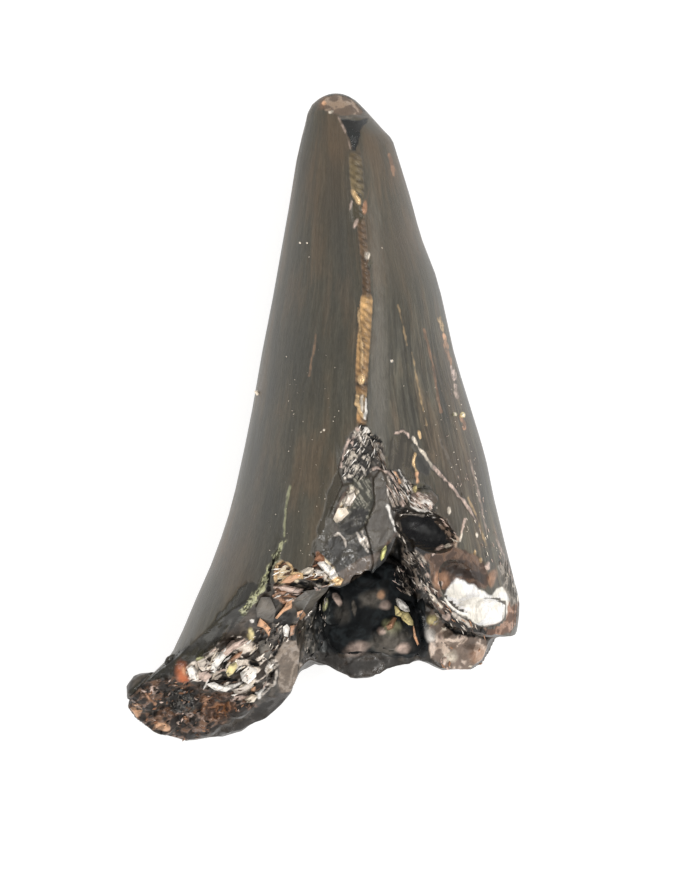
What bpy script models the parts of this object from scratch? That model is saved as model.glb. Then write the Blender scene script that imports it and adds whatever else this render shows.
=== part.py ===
"""A fossil mosasaur tooth, lying on its back with one cutting edge up.

The crown and its broken base are one solid, because they grew as one piece. A crust of minerals lines the
pulp hollow in the base. Lengths in the tables below are millimetres. X runs across the tooth, +Y points at
the tip and +Z is up. The origin is on the table, under the middle of the tooth.
"""

import math

import bmesh
import bpy
from mathutils import Matrix, Vector, noise

MM = 0.001

# Driving dimensions: where the tooth ends, and how its section is rounded
TIP_Y = 16.15
FOOT_Y = -16.6
SECTION_POINTS = 44
CREST_SHARPNESS = 1.38
SHOULDER_FULLNESS = 1.85
BELLY_FULLNESS = 2.5

# The sections lie close together at the worn tip, then evenly down to the foot
TIP_STATIONS = (16.15, 16.08, 15.95, 15.75, 15.5, 15.2, 14.85, 14.45, 14.05, 13.6)
STATION_STEP = 0.98

# The outline seen from above, as places along the tooth and across it
LEFT_EDGE = (
    (16.15, 0.3), (15.9, -0.25), (15.4, -0.74), (14.4, -1.0), (13.0, -1.33), (10.9, -1.68), (8.9, -2.03),
    (5.9, -2.57), (2.9, -3.15), (0.0, -3.66), (-3.1, -4.3), (-5.1, -4.82), (-7.1, -5.52), (-9.1, -6.38),
    (-11.1, -7.25), (-12.1, -7.8), (-13.1, -8.8), (-14.1, -9.68), (-15.1, -9.9), (-16.6, -9.6),
)
RIGHT_EDGE = (
    (16.15, 0.9), (15.9, 1.45), (15.4, 1.98), (14.4, 2.88), (13.85, 3.38), (13.0, 3.68), (10.9, 4.32),
    (8.9, 4.88), (6.9, 5.63), (4.9, 6.12), (2.9, 6.58), (0.0, 7.46), (-2.1, 8.08), (-4.1, 8.5),
    (-6.1, 8.98), (-8.1, 9.48), (-9.3, 9.76), (-10.4, 9.7), (-13.1, 9.2), (-16.6, 8.6),
)
CUTTING_EDGE = (
    (16.15, 0.62), (15.2, 1.05), (14.4, 1.4), (11.3, 1.68), (7.3, 2.08), (5.8, 2.12), (1.8, 1.88),
    (-4.0, 1.95), (-10.0, 1.9), (-16.6, 1.4),
)
# Heights over the table of the cutting edge, of the widest place and of the underside. The tip curves up.
TOP = (
    (16.15, 5.35), (15.9, 5.75), (15.4, 6.2), (14.4, 6.75), (13.0, 7.3), (10.0, 8.25), (6.0, 9.3),
    (2.0, 10.25), (-2.0, 11.15), (-6.0, 11.95), (-10.0, 12.5), (-16.6, 12.9),
)
WAIST = ((16.15, 5.0), (13.0, 5.0), (8.0, 4.85), (0.0, 4.9), (-8.0, 5.1), (-12.0, 4.8), (-16.6, 4.2))
UNDERSIDE = (
    (16.15, 4.65), (15.4, 3.95), (13.0, 2.85), (10.0, 1.75), (7.0, 0.95), (4.0, 0.35), (1.0, -0.05),
    (-2.0, -0.16), (-13.0, -0.16), (-16.6, -0.1),
)

# The narrow ridge along the cutting edge, which stops where the wall is broken
RIDGE_HALF_WIDTHS = (0.12, 0.3)
RIDGE_HEIGHT = 0.14
RIDGE_RUN = (14.6, -0.6)
# The second cutting edge is a low ridge on the underside, left of the middle
BACK_EDGE_ANGLE = math.radians(222)
BACK_EDGE_WIDTH = math.radians(9)
BACK_EDGE_HEIGHT = 0.24

# The worn tip: a facet that faces up and forward
TIP_FACET_POINT = Vector((1.0, 15.62, 5.95))
TIP_FACET_NORMAL = Vector((-0.08, 0.5, 0.86))

# The pulp hollow: place along the tooth, middle across, middle height, half width and half height
HOLLOW = (
    (-17.6, 2.6, 7.0, 4.4, 4.6), (-13.0, 2.5, 6.9, 4.1, 4.1), (-10.5, 2.35, 6.9, 3.75, 3.9),
    (-8.0, 2.3, 6.9, 3.2, 3.5), (-5.5, 2.2, 6.9, 2.4, 2.6), (-3.2, 2.1, 6.7, 1.3, 1.5),
    (-1.8, 2.0, 6.5, 0.4, 0.45),
)
HOLLOW_POINTS = 24
HOLLOW_SWELL = 0.16
HOLLOW_WAVES = 1.2
SMALLEST_HALF_SIZE = 0.05

# The ragged lower edge of the whole fossil, from the foot on the left to the right lobe
LOWER_EDGE = (
    (-11.6, -13.6), (-9.75, -14.4), (-9.35, -15.1), (-8.2, -15.8), (-7.0, -16.2), (-5.6, -16.05),
    (-4.2, -15.7), (-3.1, -15.1), (-2.3, -14.5), (-1.7, -13.7), (-1.15, -12.6), (-0.6, -12.2),
    (0.3, -12.5), (1.3, -13.1), (2.4, -12.9), (3.5, -12.6), (4.7, -12.2), (5.3, -12.35), (6.0, -12.7),
    (7.3, -12.6), (7.9, -12.2), (8.25, -11.3), (8.5, -10.95), (9.35, -10.85), (9.75, -10.4),
    (11.6, -9.6),
)
# The missing part of the near wall, and the height at which the far wall's broken rim is left
WALL_GAP = (
    (-1.3, -17.5), (-1.25, -12.6), (-1.0, -10.9), (-0.95, -9.7), (-0.1, -8.5), (0.75, -8.58),
    (1.4, -8.25), (2.4, -7.75), (3.0, -7.05), (3.65, -5.9), (4.5, -6.2), (4.85, -7.4), (5.15, -8.5),
    (5.7, -9.65), (6.6, -10.5), (8.1, -10.98), (11.0, -11.1), (11.0, -17.5),
)
RIM_HEIGHT = 3.9
RIM_FALL = 0.12

# The oblique break across the left wall, which leaves the foot: a place on it, and its rise per millimetre
FOOT_BREAK = (
    (-14.0, -5.0), (-3.6, -7.9), (-2.5, -8.3), (-1.6, -8.0), (-0.6, -8.3), (0.1, -9.2), (-0.4, -17.6),
    (-14.0, -17.6),
)
FOOT_BREAK_PLACE = Vector((-5.1, -10.2, 8.4))
FOOT_BREAK_RISE_X = -0.17
FOOT_BREAK_RISE_Y = 1.23

# Spalls on the near wall. Each has its outline seen from above, and three places with their depth under the
# whole crown's surface, which fix its plane.
SPALLS = {
    "apex": (
        ((1.93, -0.15), (1.03, -1.48), (0.78, -2.68), (0.98, -3.4), (2.4, -3.12), (2.85, -2.45),
         (2.43, -1.18)),
        ((1.93, -0.3, 0.12), (0.9, -3.3, 0.5), (2.6, -2.9, 0.65)),
    ),
    "scoop": (
        ((1.0, -3.35), (0.45, -4.68), (-0.25, -5.83), (0.83, -6.12), (1.97, -5.5), (2.42, -4.43),
         (2.42, -3.05)),
        ((0.48, -4.68, 0.3), (2.35, -4.2, 1.1), (0.8, -6.0, 0.75)),
    ),
    "lower_face": (
        ((-0.2, -5.8), (-0.45, -6.85), (0.1, -8.0), (-0.2, -8.9), (1.0, -9.3), (2.0, -9.3), (2.37, -7.28),
         (2.15, -6.18), (1.95, -5.45), (0.83, -6.05)),
        ((-0.3, -6.8, 0.35), (0.7, -8.4, 1.5), (2.2, -7.2, 1.7)),
    ),
    "tongue": (
        ((2.8, -2.4), (2.36, -3.05), (2.36, -4.45), (1.9, -5.5), (2.1, -6.18), (2.3, -7.28), (1.9, -9.3),
         (3.4, -9.0), (4.25, -6.25), (3.6, -4.93), (3.22, -3.68)),
        ((2.7, -2.6, 0.3), (3.4, -5.0, 0.95), (2.3, -7.6, 1.5)),
    ),
    "fan": (
        ((2.75, -2.42), (3.62, -2.75), (4.4, -3.65), (4.5, -4.5), (3.95, -5.2), (3.5, -5.35),
         (3.15, -3.7)),
        ((3.2, -2.7, 0.12), (4.3, -4.3, 0.5), (3.4, -4.8, 0.8)),
    ),
}
SPALL_OVERLAP = 0.12

# How uneven the breaks are: the longest edge on them, and two sizes of waves with their heights
WALL_BREAK_EDGE = 1.6
FOOT_BREAK_EDGE = 1.2
LOWER_BREAK_EDGE = 2.6
COARSE_WAVE, COARSE_HEIGHT = 2.2, 0.3
FINE_WAVE, FINE_HEIGHT = 0.9, 0.16

# Rounded pits in the wall: centre across, along and up, the three half sizes, a turn seen from above, and
# how finely each is rounded
WALL_PITS = {
    "dark_pit": ((5.1, -5.75, 10.3), (1.7, 1.0, 2.0), math.radians(-24), 3),
    "lobe_bowl": ((7.0, -8.55, 9.9), (1.75, 1.2, 1.25), math.radians(-35), 3),
    "tip_nick": ((1.45, 14.15, 7.0), (0.4, 0.8, 0.5), 0.0, 2),
    "ridge_chip": ((1.68, 10.35, 8.4), (0.3, 0.85, 0.35), 0.0, 2),
}
# Rounded lumps on the wall round the hollow: centre across, along and up, and the three half sizes
WALL_LUMPS = (
    ((7.7, -9.75, 8.2), (1.45, 0.95, 1.45)),
    ((7.1, -11.7, 2.9), (1.05, 0.9, 1.5)),
    ((5.85, -11.75, 2.9), (0.85, 0.75, 1.4)),
    ((6.5, -10.9, 3.5), (0.85, 0.75, 1.3)),
    ((4.9, -4.25, 10.45), (0.75, 0.6, 0.5)),
)
# Crumbs on the end of the foot: place across and along on the break, and half size
FOOT_CRUMBS = (
    (-8.9, -13.8, 1.0), (-9.0, -14.8, 0.6), (-8.0, -13.2, 0.6), (-7.3, -12.6, 0.85), (-8.2, -15.0, 1.05),
    (-7.0, -15.5, 0.7), (-6.1, -15.1, 1.1), (-5.0, -14.9, 0.65), (-7.1, -14.1, 0.75),
    (-4.3, -14.3, 0.85),
)
CRUMB_SINK = 0.45
# Silvery crystals stand in a ring on the foot's break, round one larger crystal
CRYSTAL_RING_CENTRE = (-4.75, -12.5)
CRYSTAL_RING_RADII = (1.5, 0.95)
CRYSTAL_RING_TURN = math.radians(24)
CRYSTAL_RING_COUNT = 9
CRYSTAL_SIZES = (0.45, 0.95)
MIDDLE_CRYSTAL_SIZE = 0.55
GOLDEN_SHARE = 0.618

# The crust on the far wall of the hollow: centre across, along and up, and the three half sizes
CRUST_LUMPS = (
    ((2.55, -9.3, 3.5), (3.6, 2.9, 1.3)),
    ((3.2, -10.75, 4.2), (0.85, 0.95, 0.95)),
    ((4.2, -10.2, 4.3), (0.45, 1.0, 1.15)),
    ((1.45, -11.3, 3.6), (0.7, 0.55, 0.7)),
    ((2.1, -8.2, 4.3), (0.85, 0.6, 1.0)),
    ((0.4, -9.6, 4.3), (0.65, 0.95, 1.0)),
    ((5.2, -9.4, 4.6), (0.6, 0.8, 1.0)),
)
CRUST_GAP = 0.3
LUMP_SWELL = 0.3
LUMP_WAVES = 1.7

ENAMEL_COLOUR = (0.075, 0.067, 0.05, 1.0)
ENAMEL_ROUGHNESS = 0.32
CRUST_COLOUR = (0.06, 0.062, 0.06, 1.0)
CRUST_ROUGHNESS = 0.55

OVER_ALL = 14.5
UNDER_ALL = -2.0


def clear_scene():
    for thing in list(bpy.data.objects):
        bpy.data.objects.remove(thing, do_unlink=True)


def along(points, y):
    """The value at y on a smooth curve through (y, value) points."""
    points = sorted(points)
    if y <= points[0][0]:
        return points[0][1]
    if y >= points[-1][0]:
        return points[-1][1]
    i = max(k for k in range(len(points) - 1) if points[k][0] <= y)
    (y0, v0), (y1, v1) = points[i], points[i + 1]
    before = points[max(i - 1, 0)]
    after = points[min(i + 2, len(points) - 1)]
    span = y1 - y0
    rise0 = span * (v1 - before[1]) / (y1 - before[0])
    rise1 = span * (after[1] - v0) / (after[0] - y0)
    t = (y - y0) / span
    start = v0 * (1 + 2 * t) * (1 - t) ** 2 + rise0 * t * (1 - t) ** 2
    end = v1 * t * t * (3 - 2 * t) - rise1 * t * t * (1 - t)
    return start + end


def half_width(side, y):
    """How wide the crown is at y, from the cutting edge to the outline on the left (side < 0) or right."""
    middle = along(CUTTING_EDGE, y)
    return middle - along(LEFT_EDGE, y) if side < 0 else along(RIGHT_EDGE, y) - middle


def crown_height(x, y):
    """Height of the whole crown's upper surface over the table, before anything broke off it."""
    from_edge = x - along(CUTTING_EDGE, y)
    share = min(abs(from_edge) / half_width(from_edge, y), 1.0)
    arch = (1 - share**CREST_SHARPNESS) ** (1 / SHOULDER_FULLNESS)
    waist = along(WAIST, y)
    return waist + (along(TOP, y) - waist) * arch


def ridge_height(from_edge, y):
    """How far the cutting edge's ridge stands up, beside it by from_edge."""
    inner, outer = RIDGE_HALF_WIDTHS
    across = min(max((outer - abs(from_edge)) / (outer - inner), 0.0), 1.0)
    ends = min(RIDGE_RUN[0] - y, y - RIDGE_RUN[1], 1.0)
    return RIDGE_HEIGHT * across * max(ends, 0.0)


def upper_point(from_edge, y):
    x = along(CUTTING_EDGE, y) + from_edge
    return Vector((x, y, crown_height(x, y) + ridge_height(from_edge, y)))


def lower_point(angle, y):
    share = math.cos(angle)
    depth = along(WAIST, y) - along(UNDERSIDE, y)
    x = along(CUTTING_EDGE, y) + share * half_width(share, y)
    z = along(WAIST, y) - depth * (1 - abs(share) ** BELLY_FULLNESS) ** (1 / BELLY_FULLNESS)
    from_back_edge = (angle - BACK_EDGE_ANGLE) / BACK_EDGE_WIDTH
    ridge = BACK_EDGE_HEIGHT * math.exp(-from_back_edge**2) * min(1.0, depth / 2)
    x += ridge * math.cos(BACK_EDGE_ANGLE)
    z += ridge * math.sin(BACK_EDGE_ANGLE)
    return Vector((x, y, max(z, 0.0)))


def worn(point):
    """Drops a point that stands over the worn tip's facet down onto it."""
    over_facet = (point - TIP_FACET_POINT).dot(TIP_FACET_NORMAL)
    return point - Vector((0, 0, max(over_facet, 0.0) / TIP_FACET_NORMAL.z))


def crown_section(y):
    """One closed ring of points: the right side, the ridge, the left side, then the underside."""
    quarter = SECTION_POINTS // 4
    inner, outer = RIDGE_HALF_WIDTHS
    spread = [math.cos(math.pi / 2 * k / quarter) for k in range(quarter)]
    right = [outer + (half_width(1, y) - outer) * share for share in spread]
    left = [-outer - (half_width(-1, y) - outer) * share for share in spread]
    across = right + [outer, inner, -inner, -outer] + left[:0:-1]
    upper = [upper_point(x, y) for x in across]
    lower = [lower_point(math.pi * (1 + k / quarter / 2), y) for k in range(2 * quarter)]
    return [worn(point) for point in upper + lower]


def stations():
    """Where the sections lie along the tooth, from the tip to the foot."""
    count = round((TIP_STATIONS[-1] - FOOT_Y) / STATION_STEP)
    step = (TIP_STATIONS[-1] - FOOT_Y) / count
    return TIP_STATIONS + tuple(TIP_STATIONS[-1] - step * (k + 1) for k in range(count))


def linked(name, bm):
    """A mesh object made from bm, whose lengths are millimetres."""
    bmesh.ops.recalc_face_normals(bm, faces=bm.faces)
    bmesh.ops.scale(bm, vec=Vector((MM, MM, MM)), verts=bm.verts)
    mesh = bpy.data.meshes.new(name)
    bm.to_mesh(mesh)
    bm.free()
    made = bpy.data.objects.new(name, mesh)
    bpy.context.scene.collection.objects.link(made)
    return made


def loft(rings):
    """A closed bmesh through rings of points, with a face at each end."""
    bm = bmesh.new()
    loops = [[bm.verts.new(point) for point in ring] for ring in rings]
    for first, second in zip(loops, loops[1:]):
        for k in range(len(first)):
            after = (k + 1) % len(first)
            bm.faces.new((first[k], first[after], second[after], second[k]))
    bm.faces.new(loops[0])
    bm.faces.new(loops[-1])
    return bm


def make_uneven(bm, longest):
    """Splits edges until none is longer than longest, then moves every point by two sizes of waves."""
    long_edges = list(bm.edges)
    while long_edges:
        bmesh.ops.triangulate(bm, faces=bm.faces)
        long_edges = [edge for edge in bm.edges if edge.calc_length() > longest]
        bmesh.ops.subdivide_edges(bm, edges=long_edges, cuts=1)
    for vert in bm.verts:
        coarse = noise.noise_vector(vert.co / COARSE_WAVE) * COARSE_HEIGHT
        fine = noise.noise_vector(vert.co / FINE_WAVE) * FINE_HEIGHT
        vert.co += coarse + fine


def column(outline, low, high):
    """An upright closed bmesh over an outline. low is a function of x and y, and high is one height."""
    bottom = [Vector((x, y, low(x, y))) for x, y in outline]
    top = [Vector((x, y, high)) for x, y in outline]
    return loft([bottom, top])


def lump(centre, half_sizes, turn=0.0, subdivisions=2, swell=0.0):
    """A closed bmesh for a lump or a pit: a stretched and turned icosphere, made uneven by noise."""
    bm = bmesh.new()
    bmesh.ops.create_icosphere(bm, subdivisions=subdivisions, radius=1.0)
    for vert in bm.verts:
        vert.co *= 1 + swell * noise.noise(vert.co * LUMP_WAVES + Vector(centre))
    bmesh.ops.scale(bm, vec=Vector(half_sizes), verts=bm.verts)
    bmesh.ops.rotate(bm, verts=bm.verts, cent=(0, 0, 0), matrix=Matrix.Rotation(turn, 3, "Z"))
    bmesh.ops.translate(bm, vec=Vector(centre), verts=bm.verts)
    return bm


def combine(target, operation, name, bm):
    """Joins a helper to target, or cuts or clips target with it. The helper stays hidden."""
    helper = linked(name, bm)
    helper.hide_render = True
    helper.display_type = "WIRE"
    modifier = target.modifiers.new(name, "BOOLEAN")
    modifier.operation = operation
    modifier.object = helper


def hollow(gap):
    """The pulp hollow's shape, smaller all round by gap."""
    rings = []
    for k, (y, middle_x, middle_z, half_x, half_z) in enumerate(HOLLOW):
        ring = []
        for j in range(HOLLOW_POINTS):
            angle = 2 * math.pi * j / HOLLOW_POINTS
            across, up = math.cos(angle), math.sin(angle)
            swell = 1 + HOLLOW_SWELL * noise.noise(Vector((across, k, up)) * HOLLOW_WAVES)
            x = middle_x + max(half_x * swell - gap, SMALLEST_HALF_SIZE) * across
            z = middle_z + max(half_z * swell - gap, SMALLEST_HALF_SIZE) * up
            ring.append(Vector((x, y - gap, z)))
        rings.append(ring)
    return loft(rings)


def foot_break_height(x, y):
    place = FOOT_BREAK_PLACE
    return place.z + FOOT_BREAK_RISE_X * (x - place.x) + FOOT_BREAK_RISE_Y * (y - place.y)


def break_foot(tooth):
    bm = column(FOOT_BREAK, foot_break_height, OVER_ALL)
    make_uneven(bm, FOOT_BREAK_EDGE)
    combine(tooth, "DIFFERENCE", "foot_break", bm)


def grown(outline, by):
    """The outline with each point pushed away from its middle."""
    middle = sum((Vector(point) for point in outline), Vector((0, 0))) / len(outline)
    return [Vector(point) + (Vector(point) - middle).normalized() * by for point in outline]


def plane_through(places):
    """A function of x and y for the height of the plane through three places."""
    a, b, c = (Vector(place) for place in places)
    normal = (b - a).cross(c - a)
    return lambda x, y: a.z - (normal.x * (x - a.x) + normal.y * (y - a.y)) / normal.z


def break_near_wall(tooth):
    for name, (outline, depths) in SPALLS.items():
        floor = plane_through([(x, y, crown_height(x, y) - depth) for x, y, depth in depths])
        combine(tooth, "DIFFERENCE", name, column(grown(outline, SPALL_OVERLAP), floor, OVER_ALL))
    bm = column(WALL_GAP, lambda x, y: RIM_HEIGHT + RIM_FALL * (y - WALL_GAP[1][1]), OVER_ALL)
    make_uneven(bm, WALL_BREAK_EDGE)
    combine(tooth, "DIFFERENCE", "wall_gap", bm)


def break_lower_edge(solid):
    left, right = LOWER_EDGE[0], LOWER_EDGE[-1]
    below = FOOT_Y - 1.0
    outline = LOWER_EDGE + ((right[0], below), (left[0], below))
    bm = column(outline, lambda x, y: UNDER_ALL, OVER_ALL)
    make_uneven(bm, LOWER_BREAK_EDGE)
    combine(solid, "DIFFERENCE", "lower_edge", bm)


def add_foot_lumps(tooth):
    for k, (x, y, size) in enumerate(FOOT_CRUMBS):
        centre = (x, y, foot_break_height(x, y) - size * CRUMB_SINK)
        combine(tooth, "UNION", f"crumb_{k}", lump(centre, (size, size, size), k, 2, LUMP_SWELL))
    ring_turn = Matrix.Rotation(CRYSTAL_RING_TURN, 2)
    small, large = CRYSTAL_SIZES
    for k in range(CRYSTAL_RING_COUNT):
        angle = 2 * math.pi * k / CRYSTAL_RING_COUNT
        offset = Vector((CRYSTAL_RING_RADII[0] * math.cos(angle), CRYSTAL_RING_RADII[1] * math.sin(angle)))
        x, y = Vector(CRYSTAL_RING_CENTRE) + ring_turn @ offset
        size = small + (large - small) * (k * GOLDEN_SHARE % 1)
        centre = (x, y, foot_break_height(x, y) - size * CRUMB_SINK)
        combine(tooth, "UNION", f"ring_crystal_{k}", lump(centre, (size, size, size), k, 1))
    x, y = CRYSTAL_RING_CENTRE
    half_sizes = (MIDDLE_CRYSTAL_SIZE, MIDDLE_CRYSTAL_SIZE, MIDDLE_CRYSTAL_SIZE)
    combine(tooth, "UNION", "middle_crystal", lump((x, y, foot_break_height(x, y)), half_sizes, 0.0, 1))


def principled(name, colour, roughness):
    material = bpy.data.materials.new(name)
    material.use_nodes = True
    shader = material.node_tree.nodes["Principled BSDF"]
    shader.inputs["Base Color"].default_value = colour
    shader.inputs["Roughness"].default_value = roughness
    shader.inputs["Metallic"].default_value = 0.0
    return material


def make_tooth():
    tooth = linked("tooth", loft([crown_section(y) for y in stations()]))
    break_foot(tooth)
    break_near_wall(tooth)
    combine(tooth, "DIFFERENCE", "pulp_hollow", hollow(0.0))
    for name, (centre, half_sizes, turn, subdivisions) in WALL_PITS.items():
        combine(tooth, "DIFFERENCE", name, lump(centre, half_sizes, turn, subdivisions))
    for k, (centre, half_sizes) in enumerate(WALL_LUMPS):
        combine(tooth, "UNION", f"wall_lump_{k}", lump(centre, half_sizes, 0.0, 2, LUMP_SWELL))
    add_foot_lumps(tooth)
    break_lower_edge(tooth)
    tooth.data.materials.append(principled("fossil_enamel", ENAMEL_COLOUR, ENAMEL_ROUGHNESS))


def make_cavity_crust():
    bed, *lumps = CRUST_LUMPS
    crust = linked("cavity_crust", lump(*bed, 0.0, 3, LUMP_SWELL))
    for k, (centre, half_sizes) in enumerate(lumps):
        combine(crust, "UNION", f"crust_lump_{k}", lump(centre, half_sizes, 0.0, 2, LUMP_SWELL))
    combine(crust, "INTERSECT", "hollow_inside", hollow(CRUST_GAP))
    crust.data.materials.append(principled("mineral_crust", CRUST_COLOUR, CRUST_ROUGHNESS))


def main():
    clear_scene()
    make_tooth()
    make_cavity_crust()


main()
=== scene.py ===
# %% [markdown]
# # A fossil mosasaur tooth
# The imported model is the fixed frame: one solid for the tooth, and one for the crust of minerals inside
# its broken base. Everything below is built round it, in metres. The tip points along +Y, and the table
# is at Z = 0.

# %% Load the frame
import itertools

import bmesh
import bpy
import numpy as np
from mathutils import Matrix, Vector


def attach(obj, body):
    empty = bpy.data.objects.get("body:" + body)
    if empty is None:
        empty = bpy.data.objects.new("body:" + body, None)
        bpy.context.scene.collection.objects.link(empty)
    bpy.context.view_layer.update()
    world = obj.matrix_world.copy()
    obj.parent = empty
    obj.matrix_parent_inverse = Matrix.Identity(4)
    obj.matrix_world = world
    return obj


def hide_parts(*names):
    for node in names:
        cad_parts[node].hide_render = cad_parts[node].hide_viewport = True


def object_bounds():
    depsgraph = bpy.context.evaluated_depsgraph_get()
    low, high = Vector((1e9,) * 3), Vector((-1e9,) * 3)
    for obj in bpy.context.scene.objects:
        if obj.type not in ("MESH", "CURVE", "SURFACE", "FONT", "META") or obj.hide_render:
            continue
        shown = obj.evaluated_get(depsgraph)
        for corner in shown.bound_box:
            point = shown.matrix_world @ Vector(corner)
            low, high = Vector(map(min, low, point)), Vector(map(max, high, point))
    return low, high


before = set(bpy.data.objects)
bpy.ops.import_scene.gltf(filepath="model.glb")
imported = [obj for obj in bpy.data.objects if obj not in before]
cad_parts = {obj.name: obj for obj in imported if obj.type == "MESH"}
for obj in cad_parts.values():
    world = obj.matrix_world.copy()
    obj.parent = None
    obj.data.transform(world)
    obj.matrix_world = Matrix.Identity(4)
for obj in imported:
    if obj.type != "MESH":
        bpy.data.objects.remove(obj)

cad_low, cad_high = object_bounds()
print("the solids reach from", [round(v * 1000, 2) for v in cad_low], "mm")
print("to", [round(v * 1000, 2) for v in cad_high], "mm")

# %% [markdown]
# ## Places on the photograph
# The fossil lies on its back and the camera looks straight down on it, so a place in the photograph is a
# place on the table. The scale comes from a sand grain stuck to the crown. Millimetres are the working
# unit of this file, and only finished meshes are turned to metres.

# %% Pixels to millimetres
MM = 0.001
PIXEL = 0.05
PHOTO_WIDTH, PHOTO_HEIGHT = 700, 874
ORIGIN_PIXEL = np.array((324.0, 416.0))


def on_table(pixels):
    """Pixels of the photograph as millimetres across and along the tooth."""
    return (np.asarray(pixels, float) - ORIGIN_PIXEL) * (PIXEL, -PIXEL)


middle = on_table((PHOTO_WIDTH / 2, PHOTO_HEIGHT / 2))
print("the picture's middle is", middle, "mm from the origin")

# %% [markdown]
# ## Camera
# A close-up of a 32 mm fossil, taken from well above it, has almost no perspective. An orthographic camera
# gives that look and keeps each place of the photograph over the same place of the model.

# %% Camera
CAMERA_HEIGHT = 300.0

camera_data = bpy.data.cameras.new("camera")
camera_data.type = "ORTHO"
camera_data.ortho_scale = PHOTO_HEIGHT * PIXEL * MM
camera_data.clip_start = 0.001
camera = bpy.data.objects.new("camera", camera_data)
camera.location = (middle[0] * MM, middle[1] * MM, CAMERA_HEIGHT * MM)
bpy.context.scene.collection.objects.link(camera)
bpy.context.scene.camera = camera
print("the frame is", round(PHOTO_WIDTH * PIXEL, 1), "by", round(PHOTO_HEIGHT * PIXEL, 1), "mm")

# %% [markdown]
# ## Colours and nodes
# Colours are written as the sRGB hex values a screen shows, and the shaders want linear light, so one
# function turns one into the other. One small function adds a node of any kind with its settings, and
# fills or links its inputs. That keeps a material as short as a list of what it is made of.

# %% Helpers for materials
def linear(hex_colour):
    """An sRGB hex colour as three linear values."""
    parts = np.array([int(hex_colour[k:k + 2], 16) for k in (1, 3, 5)]) / 255
    return np.where(parts <= 0.04045, parts / 12.92, ((parts + 0.055) / 1.055) ** 2.4)


def rgba(hex_colour):
    return (*linear(hex_colour), 1.0)


def fill(tree, node, inputs):
    """Sets a node's inputs to values, or links them to other nodes' outputs."""
    for name, value in inputs.items():
        if isinstance(value, bpy.types.NodeSocket):
            tree.links.new(value, node.inputs[name])
        else:
            node.inputs[name].default_value = value


def add_node(tree, kind, inputs=None, stops=(), **settings):
    """Adds a node with its settings and inputs. Stops are a colour ramp's places and colours."""
    node = tree.nodes.new(kind)
    for name, value in settings.items():
        setattr(node, name, value)
    fill(tree, node, inputs or {})
    for k, (place, colour) in enumerate(stops):
        ramp = node.color_ramp
        stop = ramp.elements[k] if k < len(ramp.elements) else ramp.elements.new(place)
        stop.position = place
        stop.color = rgba(colour) if isinstance(colour, str) else (colour, colour, colour, 1.0)
    return node


def start_material(name):
    """A new material, its node tree and its shader."""
    material = bpy.data.materials.new(name)
    material.use_nodes = True
    return material, material.node_tree, material.node_tree.nodes["Principled BSDF"]


# %% [markdown]
# ## Floor and light
# The background is an opal light table, which glows enough to swallow the shadow. The light is a pale tent
# with a few brighter panels: one overhead to the right, which lights the soft strip beside the cutting
# edge, a strip that is also painted into the enamel as a grey reflection, and small hard ones that glint
# on the broken minerals. Each panel is set by how bright it looks, so its size can change freely.

# %% Floor
FLOOR_HALF_SIZE = 400.0
OPAL_GLOW = 0.82

reach = FLOOR_HALF_SIZE * MM
floor_corners = [(-reach, -reach, 0), (reach, -reach, 0), (reach, reach, 0), (-reach, reach, 0)]
floor_mesh = bpy.data.meshes.new("floor")
floor_mesh.from_pydata(floor_corners, [], [(0, 1, 2, 3)])
floor = bpy.data.objects.new("floor", floor_mesh)
bpy.context.scene.collection.objects.link(floor)

# Sanded opal acrylic scatters the lamps behind it: an even pale glow, without glare or a clear shadow
opal, tree, shader = start_material("opal_acrylic_matt")
opal_look = {"Base Color": rgba("#9c9c9c"), "Roughness": 0.9, "Emission Color": rgba("#ffffff")}
fill(tree, shader, opal_look | {"Emission Strength": OPAL_GLOW})
floor_mesh.materials.append(opal)
print("the floor glows with a strength of", OPAL_GLOW)

# %% World and light panels
TENT_BRIGHTNESS = 0.5
TENT_COLOUR = "#fff6ea"
PANEL_DISTANCE = 260.0
# Each panel: direction to it, width and height in millimetres, and how bright it looks
PANELS = {
    "overhead_right": ((0.42, 0.25, 0.87), (150, 190), 1.7),
    "window": ((0.75, -0.1, 0.65), (60, 170), 1.5),
    "lobe_glint": ((0.16, -0.42, 0.89), (46, 46), 22.0),
    "foot_glint": ((-0.35, -0.2, 0.9), (30, 30), 26.0),
    "back_glint": ((0.1, 0.55, 0.83), (26, 60), 18.0),
}

world = bpy.data.worlds.new("tent")
world.use_nodes = True
tent = {"Color": rgba(TENT_COLOUR), "Strength": TENT_BRIGHTNESS}
fill(world.node_tree, world.node_tree.nodes["Background"], tent)
bpy.context.scene.world = world
bpy.context.scene.view_settings.view_transform = "Standard"

for name, (direction, (width, height), brightness) in PANELS.items():
    panel = bpy.data.lights.new(name, "AREA")
    panel.shape = "RECTANGLE"
    panel.size = width * MM
    panel.size_y = height * MM
    panel.energy = brightness * np.pi * panel.size * panel.size_y
    lamp = bpy.data.objects.new(name, panel)
    toward = Vector(direction).normalized()
    lamp.location = toward * PANEL_DISTANCE * MM
    lamp.rotation_euler = toward.to_track_quat("Z", "Y").to_euler()
    bpy.context.scene.collection.objects.link(lamp)
print(len(PANELS), "light panels")

# %% [markdown]
# ## Noise in numpy
# The break is shaped point by point, on a few hundred thousand points, so the noise is worked out on whole
# arrays. `waves` gives smooth swells. `grains` scatters centres and tells each point which one is nearest:
# tilting the surface by a random amount round each centre makes the flat facets of crystals and chips.

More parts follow.
